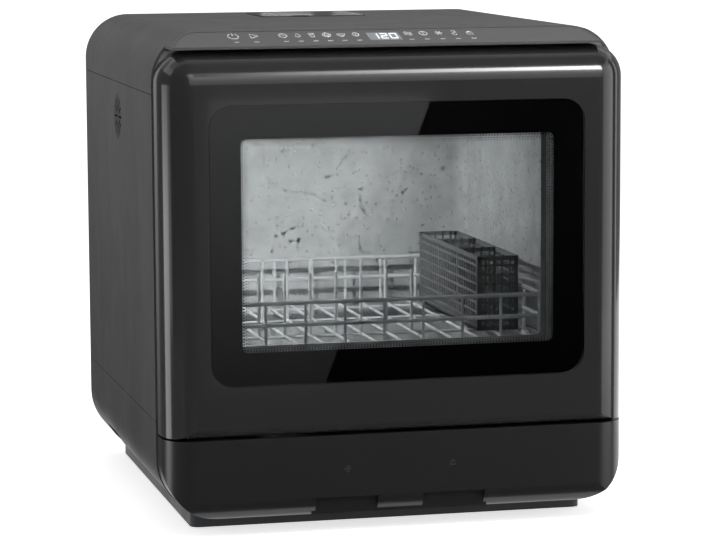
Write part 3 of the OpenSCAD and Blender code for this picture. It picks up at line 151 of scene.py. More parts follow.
def makeDropGroup():      # small standing water drops: a height, and where they are
    tree, given, out = newGroup("waterDrops", {"Scale": 260, "Share": 0.4}, ["Height", "Wet"])
    place = addNode(tree, "ShaderNodeTexCoord")
    cells = addNode(tree, "ShaderNodeTexVoronoi", feature="F1", Randomness=1.0)
    pick = addNode(tree, "ShaderNodeSeparateColor")
    chosen = addNode(tree, "ShaderNodeMath", operation="LESS_THAN")
    dome = addNode(tree, "ShaderNodeMapRange", interpolation_type="SMOOTHSTEP")
    dome.inputs["From Min"].default_value = 0.42
    dome.inputs["From Max"].default_value = 0.05
    wet = addNode(tree, "ShaderNodeMath", operation="MULTIPLY")
    tree.links.new(place.outputs["Object"], cells.inputs["Vector"])
    tree.links.new(given.outputs["Scale"], cells.inputs["Scale"])
    tree.links.new(cells.outputs["Color"], pick.inputs["Color"])
    tree.links.new(pick.outputs["Red"], chosen.inputs[0])
    tree.links.new(given.outputs["Share"], chosen.inputs[1])
    tree.links.new(cells.outputs["Distance"], dome.inputs["Value"])
    tree.links.new(dome.outputs["Result"], wet.inputs[0])
    tree.links.new(chosen.outputs[0], wet.inputs[1])
    tree.links.new(wet.outputs[0], out.inputs["Height"])
    tree.links.new(wet.outputs[0], out.inputs["Wet"])
    return tree


def makeBrushGroup():     # fine lines along x, as on rolled and brushed steel
    tree, given, out = newGroup("brushedLines", {"Low": 0.22, "High": 0.38}, ["Height", "Roughness"])
    place = addNode(tree, "ShaderNodeTexCoord")
    stretch = addNode(tree, "ShaderNodeMapping", Scale=(6.0, 900.0, 900.0))
    lines = addNode(tree, "ShaderNodeTexNoise", Scale=1.0, Detail=3.0)
    spread = addNode(tree, "ShaderNodeMapRange")
    tree.links.new(place.outputs["Object"], stretch.inputs["Vector"])
    tree.links.new(stretch.outputs["Vector"], lines.inputs["Vector"])
    tree.links.new(lines.outputs["Fac"], spread.inputs["Value"])
    tree.links.new(given.outputs["Low"], spread.inputs["To Min"])
    tree.links.new(given.outputs["High"], spread.inputs["To Max"])
    tree.links.new(lines.outputs["Fac"], out.inputs["Height"])
    tree.links.new(spread.outputs["Result"], out.inputs["Roughness"])
    return tree


groups = {"grain": makeGrainGroup(), "film": makeFilmGroup(), "drops": makeDropGroup(),
          "brush": makeBrushGroup()}


def startFinish(name, colour, roughness, **sockets):
    made = bpy.data.materials.new(name)
    made.use_nodes = True
    shader = made.node_tree.nodes["Principled BSDF"]
    shader.inputs["Base Color"].default_value = (*colour, 1)
    shader.inputs["Roughness"].default_value = roughness
    for label, value in sockets.items():
        shader.inputs[label.replace("_", " ")].default_value = value
    made.diffuse_color = (*colour, 1)
    return made, made.node_tree, shader


def useGroup(tree, key, **values):
    made = addNode(tree, "ShaderNodeGroup", node_tree=groups[key])
    for label, value in values.items():
        made.inputs[label].default_value = value
    return made


def tint(tree, shader, mask, colour, far):
    blend = addNode(tree, "ShaderNodeMix", data_type="RGBA")
    blend.inputs[6].default_value = (*colour, 1)
    blend.inputs[7].default_value = (*far, 1)
    tree.links.new(mask, blend.inputs[0])
    tree.links.new(blend.outputs[2], shader.inputs["Base Color"])


def raised(tree, shader, height, distance, strength=1.0):
    bump = addNode(tree, "ShaderNodeBump", Strength=strength, Distance=distance)
    tree.links.new(height, bump.inputs["Height"])
    tree.links.new(bump.outputs["Normal"], shader.inputs["Normal"])


def mouldedPlastic(name, colour, roughness, depthOfGrain=0.00004, scale=1500, change=0.12, **sockets):
    made, tree, shader = startFinish(name, colour, roughness, **sockets)
    grain = useGroup(tree, "grain", Scale=scale)
    tint(tree, shader, grain.outputs["Tone"], [c * (1 - change) for c in colour],
         [min(1, c * (1 + change)) for c in colour])
    raised(tree, shader, grain.outputs["Height"], depthOfGrain, 0.6)
    film = useGroup(tree, "film", Low=max(0.02, roughness - 0.05), High=min(1, roughness + 0.06), Scale=17)
    tree.links.new(film.outputs["Roughness"], shader.inputs["Roughness"])
    return made


def glossyLacquer(name, colour, low, high, peel=0.00002, **sockets):
    made, tree, shader = startFinish(name, colour, low, **sockets)
    film = useGroup(tree, "film", Low=low, High=high)
    tree.links.new(film.outputs["Roughness"], shader.inputs["Roughness"])
    grain = useGroup(tree, "grain", Scale=160, Blotch=6)
    tint(tree, shader, grain.outputs["Tone"], [c * 0.93 for c in colour], [c * 1.07 for c in colour])
    raised(tree, shader, grain.outputs["Height"], peel, 0.25)
    return made


def metal(name, colour, low, high):
    made, tree, shader = startFinish(name, colour, low, Metallic=1.0)
    brush = useGroup(tree, "brush", Low=low, High=high)
    tree.links.new(brush.outputs["Roughness"], shader.inputs["Roughness"])
    raised(tree, shader, brush.outputs["Height"], 0.00002, 0.3)
    grain = useGroup(tree, "grain", Blotch=20)
    tint(tree, shader, grain.outputs["Tone"], [c * 0.9 for c in colour], [min(1, c * 1.08) for c in colour])
    return made


def wetPlastic(name, colour, roughness, dropScale, share):
    made, tree, shader = startFinish(name, colour, roughness)
    grain = useGroup(tree, "grain", Blotch=45)
    tint(tree, shader, grain.outputs["Tone"], [c * 0.6 for c in colour], [min(1, c * 1.4) for c in colour])
    drops = useGroup(tree, "drops", Scale=dropScale, Share=share)
    raised(tree, shader, drops.outputs["Height"], 0.0009, 0.8)
    shine = addNode(tree, "ShaderNodeMapRange")
    shine.inputs["To Min"].default_value = roughness
    shine.inputs["To Max"].default_value = 0.06
    tree.links.new(drops.outputs["Wet"], shine.inputs["Value"])
    tree.links.new(shine.outputs["Result"], shader.inputs["Roughness"])
    return made


def glassPane(name, colour):
    made, tree, shader = startFinish(name, colour, 0.0, IOR=1.45, Transmission_Weight=1.0)
    film = useGroup(tree, "film", Low=0.0, High=0.008, Scale=8)
    tree.links.new(film.outputs["Roughness"], shader.inputs["Roughness"])
    return made


def glowing(name, colour, strength):
    made, tree, shader = startFinish(name, colour, 0.25)
    shader.inputs["Emission Color"].default_value = (*colour, 1)
    shader.inputs["Emission Strength"].default_value = strength
    grain = useGroup(tree, "grain", Scale=900, Blotch=60)
    tint(tree, shader, grain.outputs["Tone"], [c * 0.96 for c in colour], colour)
    return made


finishes = {
    "casing_grey": mouldedPlastic("casingGrain", (0.062, 0.062, 0.061), 0.46, 0.00006, 1300, 0.1),
    "door_gloss": glossyLacquer("doorLacquer", (0.026, 0.026, 0.0258), 0.13, 0.2, Coat_Weight=0.4,
                                Coat_Roughness=0.06),
    "base_gloss": glossyLacquer("baseLacquer", (0.018, 0.018, 0.0178), 0.28, 0.31),
    "rear_plastic": mouldedPlastic("rearGrain", (0.05, 0.05, 0.05), 0.55),
    "pan_plastic": mouldedPlastic("panGrain", (0.014, 0.016, 0.019), 0.5),
    "black_plastic": mouldedPlastic("blackGrain", (0.012, 0.012, 0.012), 0.42),
    "panel_overlay": mouldedPlastic("overlayFilm", (0.07, 0.07, 0.069), 0.34, 0.00002, 2200, 0.05),
    "display": glowing("displayGlow", (0.17, 0.18, 0.19), 0.3),
    "rubber": mouldedPlastic("footRubber", (0.016, 0.016, 0.016), 0.75, 0.00012, 900),
    "door_glass": glassPane("tintedGlass", (0.78, 0.8, 0.8)),
    "inner_glass": glassPane("clearGlass", (0.97, 0.98, 0.98)),
    "black_print": mouldedPlastic("blackPrint", (0.0025, 0.0025, 0.0027), 0.35, 0.00001,
                                  Specular_IOR_Level=0.1),
    "tub_liner": wetPlastic("tubLiner", (0.43, 0.435, 0.44), 0.3, 230, 0.35),
    "steel": metal("brushedSteel", (0.6, 0.6, 0.61), 0.2, 0.36),
    "rack_wire": mouldedPlastic("rackCoating", (0.66, 0.67, 0.68), 0.28, 0.00004, 1200, 0.06),
    "grey_plastic": mouldedPlastic("greyPolymer", (0.2, 0.205, 0.21), 0.4),
    "tank_plastic": mouldedPlastic("tankPolymer", (0.5, 0.55, 0.58), 0.3),
    "lamp_lens": glowing("lampGlow", (1.0, 0.99, 0.96), 3.0),
    "motor_steel": metal("motorCan", (0.23, 0.24, 0.25), 0.35, 0.5),
    "circuit_board": mouldedPlastic("boardGreen", (0.02, 0.11, 0.04), 0.35),
}

for part in record["subparts"]:
    node = nodes[part["node"]]
    node.data.materials.clear()
    node.data.materials.append(finishes[part["material_slot"]])
lidSatin = mouldedPlastic("lidSatin", (0.062, 0.062, 0.061), 0.12, 0.00002, 1300, 0.1)
nodes["fill_lid"].data.materials[0] = lidSatin
print("finishes on", len(record["subparts"]), "nodes")


def addMesh(name, mesh):
    made = bpy.data.objects.new(name, mesh)
    bpy.context.scene.collection.objects.link(made)
    return made


def fromBmesh(name, bm, smooth=True):
    mesh = bpy.data.meshes.new(name)
    bm.to_mesh(mesh)
    bm.free()
    made = addMesh(name, mesh)
    for face in mesh.polygons:
        face.use_smooth = smooth
    return made


def finishPiece(made, body, slotName, *replaced):
    made.data.materials.clear()
    made.data.materials.append(finishes[slotName])
    if replaced:
        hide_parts(*replaced)
    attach(made, body)


def applied(name, host, smooth=True):     # the evaluated result of host's modifiers, as a plain mesh
    bpy.context.view_layer.update()
    graph = bpy.context.evaluated_depsgraph_get()
    mesh = bpy.data.meshes.new_from_object(host.evaluated_get(graph))
    bpy.data.objects.remove(host)
    made = addMesh(name, mesh)
    if smooth:
        mesh.set_sharp_from_angle(angle=math.radians(40))
        for face in mesh.polygons:
            face.use_smooth = True
    return made


def newTree(name, inputs):
    tree = bpy.data.node_groups.new(name, "GeometryNodeTree")
    tree.interface.new_socket("Geometry", in_out="INPUT", socket_type="NodeSocketGeometry")
    for label, (kind, value) in inputs.items():
        socket = tree.interface.new_socket(label, in_out="INPUT", socket_type="NodeSocket" + kind)
        if value is not None:
            socket.default_value = value
    tree.interface.new_socket("Geometry", in_out="OUTPUT", socket_type="NodeSocketGeometry")
    return tree, addNode(tree, "NodeGroupInput"), addNode(tree, "NodeGroupOutput")


def grow(host, tree, **values):           # adds the tree to host, its inputs set by identifier
    modifier = host.modifiers.new(tree.name, "NODES")
    modifier.node_group = tree
    for item in tree.interface.items_tree:
        if item.in_out == "INPUT" and item.name.replace(" ", "") in values:
            modifier[item.identifier] = values[item.name.replace(" ", "")]
    return host


def closeTree(tree, given, out, geometry):     # realize, then the material, then out
    real = addNode(tree, "GeometryNodeRealizeInstances")
    paint = addNode(tree, "GeometryNodeSetMaterial")
    tree.links.new(geometry, real.inputs["Geometry"])
    tree.links.new(real.outputs["Geometry"], paint.inputs["Geometry"])
    tree.links.new(given.outputs["Finish"], paint.inputs["Material"])
    tree.links.new(paint.outputs["Geometry"], out.inputs["Geometry"])


def makeWireTree():       # a round wire along every spline
    tree, given, out = newTree("roundWire", {"Radius": ("Float", 0.0014), "Sides": ("Int", 10),
                                             "Finish": ("Material", None)})
    ring = addNode(tree, "GeometryNodeCurvePrimitiveCircle")
    sweep = addNode(tree, "GeometryNodeCurveToMesh")
    sweep.inputs["Fill Caps"].default_value = True
    tree.links.new(given.outputs["Geometry"], sweep.inputs["Curve"])
    tree.links.new(given.outputs["Radius"], ring.inputs["Radius"])
    tree.links.new(given.outputs["Sides"], ring.inputs["Resolution"])
    tree.links.new(ring.outputs["Curve"], sweep.inputs["Profile Curve"])
    closeTree(tree, given, out, sweep.outputs["Mesh"])
    return tree


def makeScatterTree():    # one shape on every point of the host, turned and sized by the point's turn and size
    tree, given, out = newTree("setOnPoints", {"Shape": ("Object", None), "Finish": ("Material", None)})
    shape = addNode(tree, "GeometryNodeObjectInfo")
    place = addNode(tree, "GeometryNodeInstanceOnPoints")
    turn = addNode(tree, "GeometryNodeInputNamedAttribute", data_type="FLOAT_VECTOR", Name="turn")
    size = addNode(tree, "GeometryNodeInputNamedAttribute", data_type="FLOAT", Name="size")
    tree.links.new(given.outputs["Shape"], shape.inputs["Object"])
    tree.links.new(given.outputs["Geometry"], place.inputs["Points"])
    tree.links.new(shape.outputs["Geometry"], place.inputs["Instance"])
    tree.links.new(turn.outputs[0], place.inputs["Rotation"])
    tree.links.new(size.outputs[0], place.inputs["Scale"])
    closeTree(tree, given, out, place.outputs["Instances"])
    return tree


wireTree = makeWireTree()
scatterTree = makeScatterTree()


def pointHost(name, points, turns, sizes):     # loose points that carry a turn and a size
    mesh = bpy.data.meshes.new(name)
    mesh.from_pydata(points, [], [])
    flatTurns = [c for t in turns for c in t]
    mesh.attributes.new("turn", "FLOAT_VECTOR", "POINT").data.foreach_set("vector", flatTurns)
    mesh.attributes.new("size", "FLOAT", "POINT").data.foreach_set("value", sizes)
    return addMesh(name, mesh)


def scatter(name, shape, points, turns, sizes, finish, smooth=True):
    host = pointHost(name + "Points", points, turns, sizes)
    grow(host, scatterTree, Shape=shape, Finish=finish)
    made = applied(name, host, smooth)
    bpy.data.objects.remove(shape)
    return made


def curveHost(name, lines):     # lines: (points, closed) pairs
    data = bpy.data.curves.new(name, "CURVE")
    data.dimensions = "3D"
    for points, closed in lines:
        spline = data.splines.new("POLY")
        spline.points.add(len(points) - 1)
        for spot, p in zip(spline.points, points):
            spot.co = (*p, 1)
        spline.use_cyclic_u = closed
    made = bpy.data.objects.new(name, data)
    bpy.context.scene.collection.objects.link(made)
    return made


def wires(name, lines, radius, finish, sides=10):
    host = curveHost(name + "Path", lines)
    grow(host, wireTree, Radius=radius, Sides=sides, Finish=finish)
    return applied(name, host)


def roundedLoop(halfX, halfY, radius, steps=6):
    loop = []
    for cx, cy, start in ((halfX - radius, halfY - radius, 0), (radius - halfX, halfY - radius, 90),
                          (radius - halfX, radius - halfY, 180), (halfX - radius, radius - halfY, 270)):
        for i in range(steps + 1):
            a = math.radians(start + 90 * i / steps)
            loop.append((cx + radius * math.cos(a), cy + radius * math.sin(a)))
    return loop


def joined(name, pieces):
    bm = bmesh.new()
    for piece in pieces:
        bm.from_mesh(piece.data)
        bpy.data.objects.remove(piece)
    return fromBmesh(name, bm)


def addBlock(bm, centre, size):
    bmesh.ops.create_cube(bm, size=1, matrix=Matrix.Translation(centre) @ Matrix.Diagonal((*size, 1)))


rack = {
    "halfWidth": 0.145,
    "front": fromDoor(0.060),
    "back": fromDoor(0.366),
    "floor": 0.153,
    "middle": 0.1765,
    "top": 0.196,
    "frameRadius": 0.0019,
    "fillRadius": 0.0014,
    "upright": 0.036,        # pitch of the front and back uprights
    "uprightsBeside": 4,     # uprights on each side of the middle one
    "sideBays": 6,           # bays between the uprights of a side
    "floorPitch": 0.024,
    "floorBeside": 5,        # floor wires on each side of the middle one
    "crossWires": (0.100, 0.150, 0.250, 0.326),
    "crossDrop": 0.0012,     # they lie under the floor wires
    "prongRows": (0.150, 0.250),
    "prongSpan": (-4, 3),    # the floor wires that carry prongs
    "prong": 0.058,
    "prongRadius": 0.0015,
    "corner": 0.010,
}
carriers = {                 # the blocks and axles of the rack's wheels
    "rows": (0.110, 0.340),
    "block": (0.0043, 0.016, 0.018),
    "blockX": 0.14565,
    "blockZ": 0.147,
    "axleX": 0.15225,
    "axleZ": 0.142,
    "axleRadius": 0.0025,
    "axleLength": 0.0125,
    "edge": 0.0008,
}


def makeRack():
    w, y0, y1 = rack["halfWidth"], rack["front"], rack["back"]
    low, high, mid = rack["floor"], rack["top"], rack["middle"]
    yc, hy = (y0 + y1) / 2, (y1 - y0) / 2
    outline = roundedLoop(w, hy, rack["corner"])
    loops = [([(x, yc + y, z) for x, y in outline], True) for z in (low, mid, high)]
    frameWires = wires("rackFrameWires", loops, rack["frameRadius"], finishes["rack_wire"], 12)
    thin = []
    for i in range(-rack["uprightsBeside"], rack["uprightsBeside"] + 1):
        x = i * rack["upright"]
        for y in (y0, y1):
            thin.append(([(x, y, low), (x, y, high)], False))
    for i in range(1, rack["sideBays"]):
        y = y0 + i * (y1 - y0) / rack["sideBays"]
        for s in (-1, 1):
            thin.append(([(s * w, y, low), (s * w, y, high)], False))
    for i in range(-rack["floorBeside"], rack["floorBeside"] + 1):
        thin.append(([(i * rack["floorPitch"], y0, low), (i * rack["floorPitch"], y1, low)], False))
    under = low - rack["crossDrop"]
    for y in rack["crossWires"]:
        thin.append(([(-w, fromDoor(y), under), (w, fromDoor(y), under)], False))
    fillWires = wires("rackFillWires", thin, rack["fillRadius"], finishes["rack_wire"], 8)
    return frameWires, fillWires


def makeProngs():
    radius, sides = rack["prongRadius"], 8
    profile = [(radius, 0.0), (radius, rack["prong"] - 0.0014), (0.0011, rack["prong"] - 0.0004)]
    bm = bmesh.new()
    rings = [[bm.verts.new((r * math.cos(a), r * math.sin(a), z)) for a in
              (math.tau * k / sides for k in range(sides))] for r, z in profile]
    tip = bm.verts.new((0, 0, rack["prong"]))
    foot = bm.verts.new((0, 0, 0))
    for a, b in zip(rings, rings[1:]):
        for k in range(sides):
            bm.faces.new((a[k], a[(k + 1) % sides], b[(k + 1) % sides], b[k]))
    for k in range(sides):
        bm.faces.new((rings[-1][k], rings[-1][(k + 1) % sides], tip))
        bm.faces.new((rings[0][(k + 1) % sides], rings[0][k], foot))
    shape = fromBmesh("prongShape", bm)
    spots = [(i * rack["floorPitch"], fromDoor(y), rack["floor"])
             for i in range(*rack["prongSpan"]) for y in rack["prongRows"]]
    return scatter("rackProngs", shape, spots, [(0, 0, 0)] * len(spots), [1.0] * len(spots),
                   finishes["rack_wire"])


def makeWheelCarriers():
    bm = bmesh.new()
    for s in (-1, 1):
        for y in carriers["rows"]:
            addBlock(bm, (s * carriers["blockX"], fromDoor(y), carriers["blockZ"]), carriers["block"])
            axle = Matrix.Translation((s * carriers["axleX"], fromDoor(y), carriers["axleZ"]))
            bmesh.ops.create_cone(bm, cap_ends=True, segments=20, radius1=carriers["axleRadius"],
                                  radius2=carriers["axleRadius"], depth=carriers["axleLength"],
                                  matrix=axle @ Matrix.Rotation(math.pi / 2, 4, "Y"))
    made = fromBmesh("rackWheelCarriers", bm, False)
    soft = made.modifiers.new("softEdge", "BEVEL")
    soft.width = carriers["edge"]
    soft.segments = 2
    return applied("rackWheelCarriers", made)


frameWires, fillWires = makeRack()
rackBody = joined("dishRackWires", [frameWires, fillWires, makeProngs()])
finishPiece(rackBody, "rack", "rack_wire", "dish_rack")
finishPiece(makeWheelCarriers(), "rack", "rack_wire", "dish_rack")
print("dish rack made")


basket = {
    "x": (0.103, 0.142),
    "y": (fromDoor(0.120), fromDoor(0.330)),
    "z": (0.1553, 0.224),
    "cells": 3,
    "mesh": 0.0082,          # pitch of the lattice
    "rib": 0.0021,           # width of its ribs
    "wall": 0.0018,
    "rim": 0.004,
}


def latticePanel(corner, across, up, wide, tall):     # ribs both ways between two rims
    bars = []
    countX = max(2, round(wide / basket["mesh"]))
    countZ = max(2, round(tall / basket["mesh"]))
    for i in range(countX + 1):
        w = basket["rib"] if 0 < i < countX else basket["rim"]
        bars.append((wide * i / countX, tall / 2, w, tall))
    for j in range(countZ + 1):
        h = basket["rib"] if 0 < j < countZ else basket["rim"]
        bars.append((wide / 2, tall * j / countZ, wide, h))
    out = []
    for u, v, w, h in bars:
        u = min(max(u, w / 2), wide - w / 2)
        v = min(max(v, h / 2), tall - h / 2)
        centre = Vector(corner) + Vector(across) * u + Vector(up) * v
        size = [basket["wall"]] * 3
        for axis in range(3):
            if across[axis]:
                size[axis] = w
            if up[axis]:
                size[axis] = h
        out.append((centre, size))
    return out


def makeBasket():
    (x0, x1), (y0, y1), (z0, z1) = basket["x"], basket["y"], basket["z"]
    half = basket["wall"] / 2
    bars = []
    for x in (x0 + half, x1 - half):
        bars += latticePanel((x, y0, z0), (0, 1, 0), (0, 0, 1), y1 - y0, z1 - z0)
    for i in range(basket["cells"] + 1):
        y = y0 + half + (y1 - y0 - 2 * half) * i / basket["cells"]
        bars += latticePanel((x0, y, z0), (1, 0, 0), (0, 0, 1), x1 - x0, z1 - z0)
    bars += latticePanel((x0, y0, z0 + half), (1, 0, 0), (0, 1, 0), x1 - x0, y1 - y0)
    bm = bmesh.new()
    for centre, size in bars:
        addBlock(bm, centre, size)
    return fromBmesh("cutleryBasketLattice", bm, False)


finishPiece(makeBasket(), "rack", "grey_plastic", "cutlery_basket")
print("cutlery basket made")


drops = {
    "seed": 7,
    "back": 620,             # how many on the rear wall, and on the right one
    "side": 220,
    "size": (0.0007, 0.0023),
    "wall": fromDoor(0.379),
    "sideX": 0.163,
    "acrossBack": (-0.15, 0.15),
    "alongSide": (fromDoor(0.06), fromDoor(0.36)),
    "heights": (0.125, 0.385),
}


def makeDrops():
    rng = random.Random(drops["seed"])
    spots, turns, sizes = [], [], []
    for _ in range(drops["back"]):
        spots.append((rng.uniform(*drops["acrossBack"]), drops["wall"], rng.uniform(*drops["heights"])))
        turns.append((math.pi / 2, 0, rng.uniform(-0.2, 0.2)))
        sizes.append(rng.uniform(*drops["size"]) * rng.choice((0.6, 0.8, 1.0)))
    for _ in range(drops["side"]):
        spots.append((drops["sideX"], rng.uniform(*drops["alongSide"]), rng.uniform(*drops["heights"])))
        turns.append((0, -math.pi / 2, 0))
        sizes.append(rng.uniform(*drops["size"]) * 0.7)
    bm = bmesh.new()
    bmesh.ops.create_icosphere(bm, subdivisions=1, radius=1, matrix=Matrix.Diagonal((1, 1, 0.42, 1)))
    shape = fromBmesh("dropShape", bm)
    return scatter("tubDrops", shape, spots, turns, sizes, finishes["inner_glass"])


finishPiece(makeDrops(), "casing", "inner_glass")
print("drops set")


fringe = {                   # the dots printed round the window's edge
    "width": 0.280,
    "height": 0.185,
    "corner": 0.005,
    "centre": 0.2542,
    "y": fromDoor(0.0037),
    "pitch": 0.0026,
    "rows": ((0.0011, 0.0009), (0.0033, 0.0006), (0.0052, 0.0004)),     # inset and radius
}


def alongLoop(loop, pitch):
    spots, carry = [], 0.0
    for a, b in zip(loop, loop[1:] + loop[:1]):
        a, b = Vector(a), Vector(b)
        length = (b - a).length
        while carry < length:
            spots.append(a.lerp(b, carry / length))
            carry += pitch
        carry -= length
    return spots


def makeFringe():
    spots, turns, sizes = [], [], []
    for inward, radius in fringe["rows"]:
        loop = roundedLoop(fringe["width"] / 2 - inward, fringe["height"] / 2 - inward,
                           max(0.001, fringe["corner"] - inward))
        for p in alongLoop(loop, fringe["pitch"]):
            spots.append((p.x, fringe["y"], fringe["centre"] + p.y))
            turns.append((math.pi / 2, 0, 0))
            sizes.append(radius)
    bm = bmesh.new()
    bmesh.ops.create_cone(bm, cap_ends=True, segments=8, radius1=1, radius2=1, depth=0.1)
    return scatter("windowFringe", fromBmesh("fringeDot", bm, False), spots, turns, sizes,
                   finishes["black_print"], False)


finishPiece(makeFringe(), "door", "black_print")
print("window fringe made")


console = {
    "lipY": fromDoor(0.010), "lipZ": 0.426,
    "roofY": fromDoor(0.055), "roofZ": 0.438,
    "thick": 0.00008,
    "row": 0.029,            # icons, up the slope
    "marks": 0.0125,         # the short bars below them
    "markHalf": 0.0022,      # half a bar's length
    "power": (-0.139, -0.121),
    "powerGrowth": 1.4,
    "left": (-0.095, -0.082, -0.069, -0.056, -0.043, -0.030),
    "right": (0.017, 0.031, 0.045, 0.059, 0.073),
    "wide": 1.25,            # growth of the icons across, and up the slope
    "tall": 1.9,
    "line": 0.001,
    "digits": "120",
    "digit": (0.0055, 0.013),
    "digitPitch": 0.0085,
    "digitLift": 0.0001,
}


def onSlope(x, along, lift=0.0):
    start = Vector((0, console["lipY"], console["lipZ"]))
    way = (Vector((0, console["roofY"], console["roofZ"])) - start).normalized()
    out = Vector((1, 0, 0)).cross(way)
    return Vector((x, 0, 0)) + start + way * along + out * lift


def arc(cx, cy, r, a0, a1, steps=20):
    return [(cx + r * math.cos(math.radians(a0 + (a1 - a0) * i / steps)),
             cy + r * math.sin(math.radians(a0 + (a1 - a0) * i / steps))) for i in range(steps + 1)]


iconStrokes = {           # strokes in millimetres about the icon's middle
    "power": [arc(0, 0, 2.6, 120, 420), [(0, 0.6), (0, 3.2)]],
    "run": [[(-1.6, -2.2), (2.2, 0), (-1.6, 2.2), (-1.6, -2.2)]],
    "clock": [arc(0, 0, 2.7, 0, 360), [(0, 1.7), (0, 0), (1.3, 0)]],
    "drop": [[(0, 3.0), (-1.7, 0)] + arc(0, -0.6, 1.8, 160, 380, 14) + [(0, 3.0)]],
    "glass": [[(-1.9, 2.6), (1.9, 2.6), (1.2, -2.6), (-1.2, -2.6), (-1.9, 2.6)], [(-1.6, 0.7), (1.6, 0.7)]],
    "plate": [arc(0, 0, 2.8, 0, 360), arc(0, 0, 1.5, 0, 360)],
    "bowl": [arc(0, 1.0, 2.8, 180, 360, 12) + [(-2.8, 1.0)], [(-1.2, -2.6), (1.2, -2.6)]],
    "leaf": [arc(0.4, 0, 2.6, 90, 270, 12), arc(-0.4, 0, 2.6, -90, 90, 12), [(0, -3.0), (0, 1.0)]],
    "air": [[(-2.6, y), (-1.3, y + 0.8), (0, y), (1.3, y - 0.8), (2.6, y)] for y in (-1.7, 0, 1.7)],
    "half": [arc(0, 0, 2.7, 0, 360), [(0, -2.7), (0, 2.7)]],
    "star": [[(-2.6, 0), (2.6, 0)], [(-1.4, -2.4), (1.4, 2.4)], [(-1.4, 2.4), (1.4, -2.4)]],
    "fan": [arc(0, 1.5, 1.5, -90, 180, 10), arc(0, -1.5, 1.5, 90, 360, 10)],
    "lock": [[(-2, -2.6), (2, -2.6), (2, 0.4), (-2, 0.4), (-2, -2.6)], arc(0, 0.4, 1.4, 0, 180, 10)],
}
segments = {"a": ((0, 1), (1, 1)), "b": ((1, 1), (1, 0.5)), "c": ((1, 0.5), (1, 0)), "d": ((1, 0), (0, 0)),
            "e": ((0, 0), (0, 0.5)), "f": ((0, 0.5), (0, 1)), "g": ((0, 0.5), (1, 0.5))}
digitShapes = {"0": "abcdef", "1": "bc", "2": "abged"}


def makeIcons():
    names = [name for name in iconStrokes if name not in ("power", "run")]
    spots = [(x, name, console["powerGrowth"]) for x, name in zip(console["power"], ("power", "run"))]
    spots += [(x, name, 1.0) for x, name in zip(console["left"] + console["right"], names)]
    lines = []
    for x, name, growth in spots:
        for stroke in iconStrokes[name]:
            lines.append(([tuple(onSlope(x + u * console["wide"] * growth / 1000,
                                         console["row"] + v * console["tall"] * growth / 1000,
                                         console["thick"])) for u, v in stroke], False))
        lines.append(([tuple(onSlope(x + side * console["markHalf"], console["marks"], console["thick"]))
                       for side in (-1, 1)], False))
    return wires("consoleIcons", lines, console["line"] / 2, finishes["display"], 6)


def makeDigits():
    low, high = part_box("display_lens")
    wide, tall = console["digit"]
    count = len(console["digits"])
    slope = math.atan2(console["roofZ"] - console["lipZ"], console["roofY"] - console["lipY"])
    along = ((low[1] + high[1]) / 2 - console["lipY"]) / math.cos(slope) - tall / 2
    lines = []
    for i, digit in enumerate(console["digits"]):
        x = (low[0] + high[0]) / 2 + (i - (count - 1) / 2) * console["digitPitch"] - wide / 2
        for key in digitShapes[digit]:
            lines.append(([tuple(onSlope(x + u * wide, along + v * tall, console["digitLift"]))
                           for u, v in segments[key]], False))
    return wires("displayDigits", lines, console["line"] / 2, finishes["display"], 6)


iconPaint = startFinish("iconPrint", (0.55, 0.56, 0.56), 0.45)[0]
digitGlow = glowing("digitGlow", (0.8, 0.84, 0.86), 0.7)
for piece, finish in ((makeIcons(), iconPaint), (makeDigits(), digitGlow)):
    finishPiece(piece, "casing", "display")
    piece.data.materials.clear()
    piece.data.materials.append(finish)
print("console icons made")


studio = {
    "floorTone": 0.93,
    "floorGlow": 0.68,       # only the eye sees it
    "sky": 0.62,             # light from all round
    "lights": {
        "top": {"at": (0.35, -0.35, 1.7), "to": (0.05, -0.1, 0.42), "size": (1.5, 0.5), "power": 18},
        "left": {"at": (-1.7, -0.55, 0.5), "to": (-0.2, -0.1, 0.25), "size": (0.35, 1.3), "power": 1},
        "right": {"at": (1.7, -1.2, 0.6), "to": (0.2, -0.2, 0.25), "size": (0.6, 1.3), "power": 4},
        "tub": {"at": (-0.145, fromDoor(0.17), 0.388), "to": (-0.12, fromDoor(0.37), 0.25),
                "size": (0.04, 0.012), "power": 1.75},
    },
}

# Plan points of the mirrored walls, from rear to front
leftWall = ((-0.3, 3), (-1.36, 0.38), (-1.5, -0.21), (-1.45, -0.45), (-1, -1.4))
rightWall = ((1.2, 3), (1.57, 0.1), (1.59, -0.12), (1.55, -0.52), (0.92, -1.29))
leftRoll, rightRoll = (-0.22, -0.2), (0.2, -0.22)     # the door's rounded edges
onFloor, overFloor = 0.002, 0.003
strip = {"front": -1.53, "near": -1.5, "low": 1.0, "high": 1.38, "highFront": 1.36}


def upright(a, b, low, high):     # a card that stands between two plan points
    return [(*a, low), (*b, low), (*b, high), (*a, high)]


def lying(height, *spots):
    return [(*spot, height) for spot in spots]


def even(corners, strength):
    return corners, strength, strength, "Z", (0, 1)


def stripCard(x0, x1, start, end, span, y=strip["near"], low=strip["low"], high=strip["high"]):
    return upright((x0, y), (x1, y), low, high), start, end, "X", span


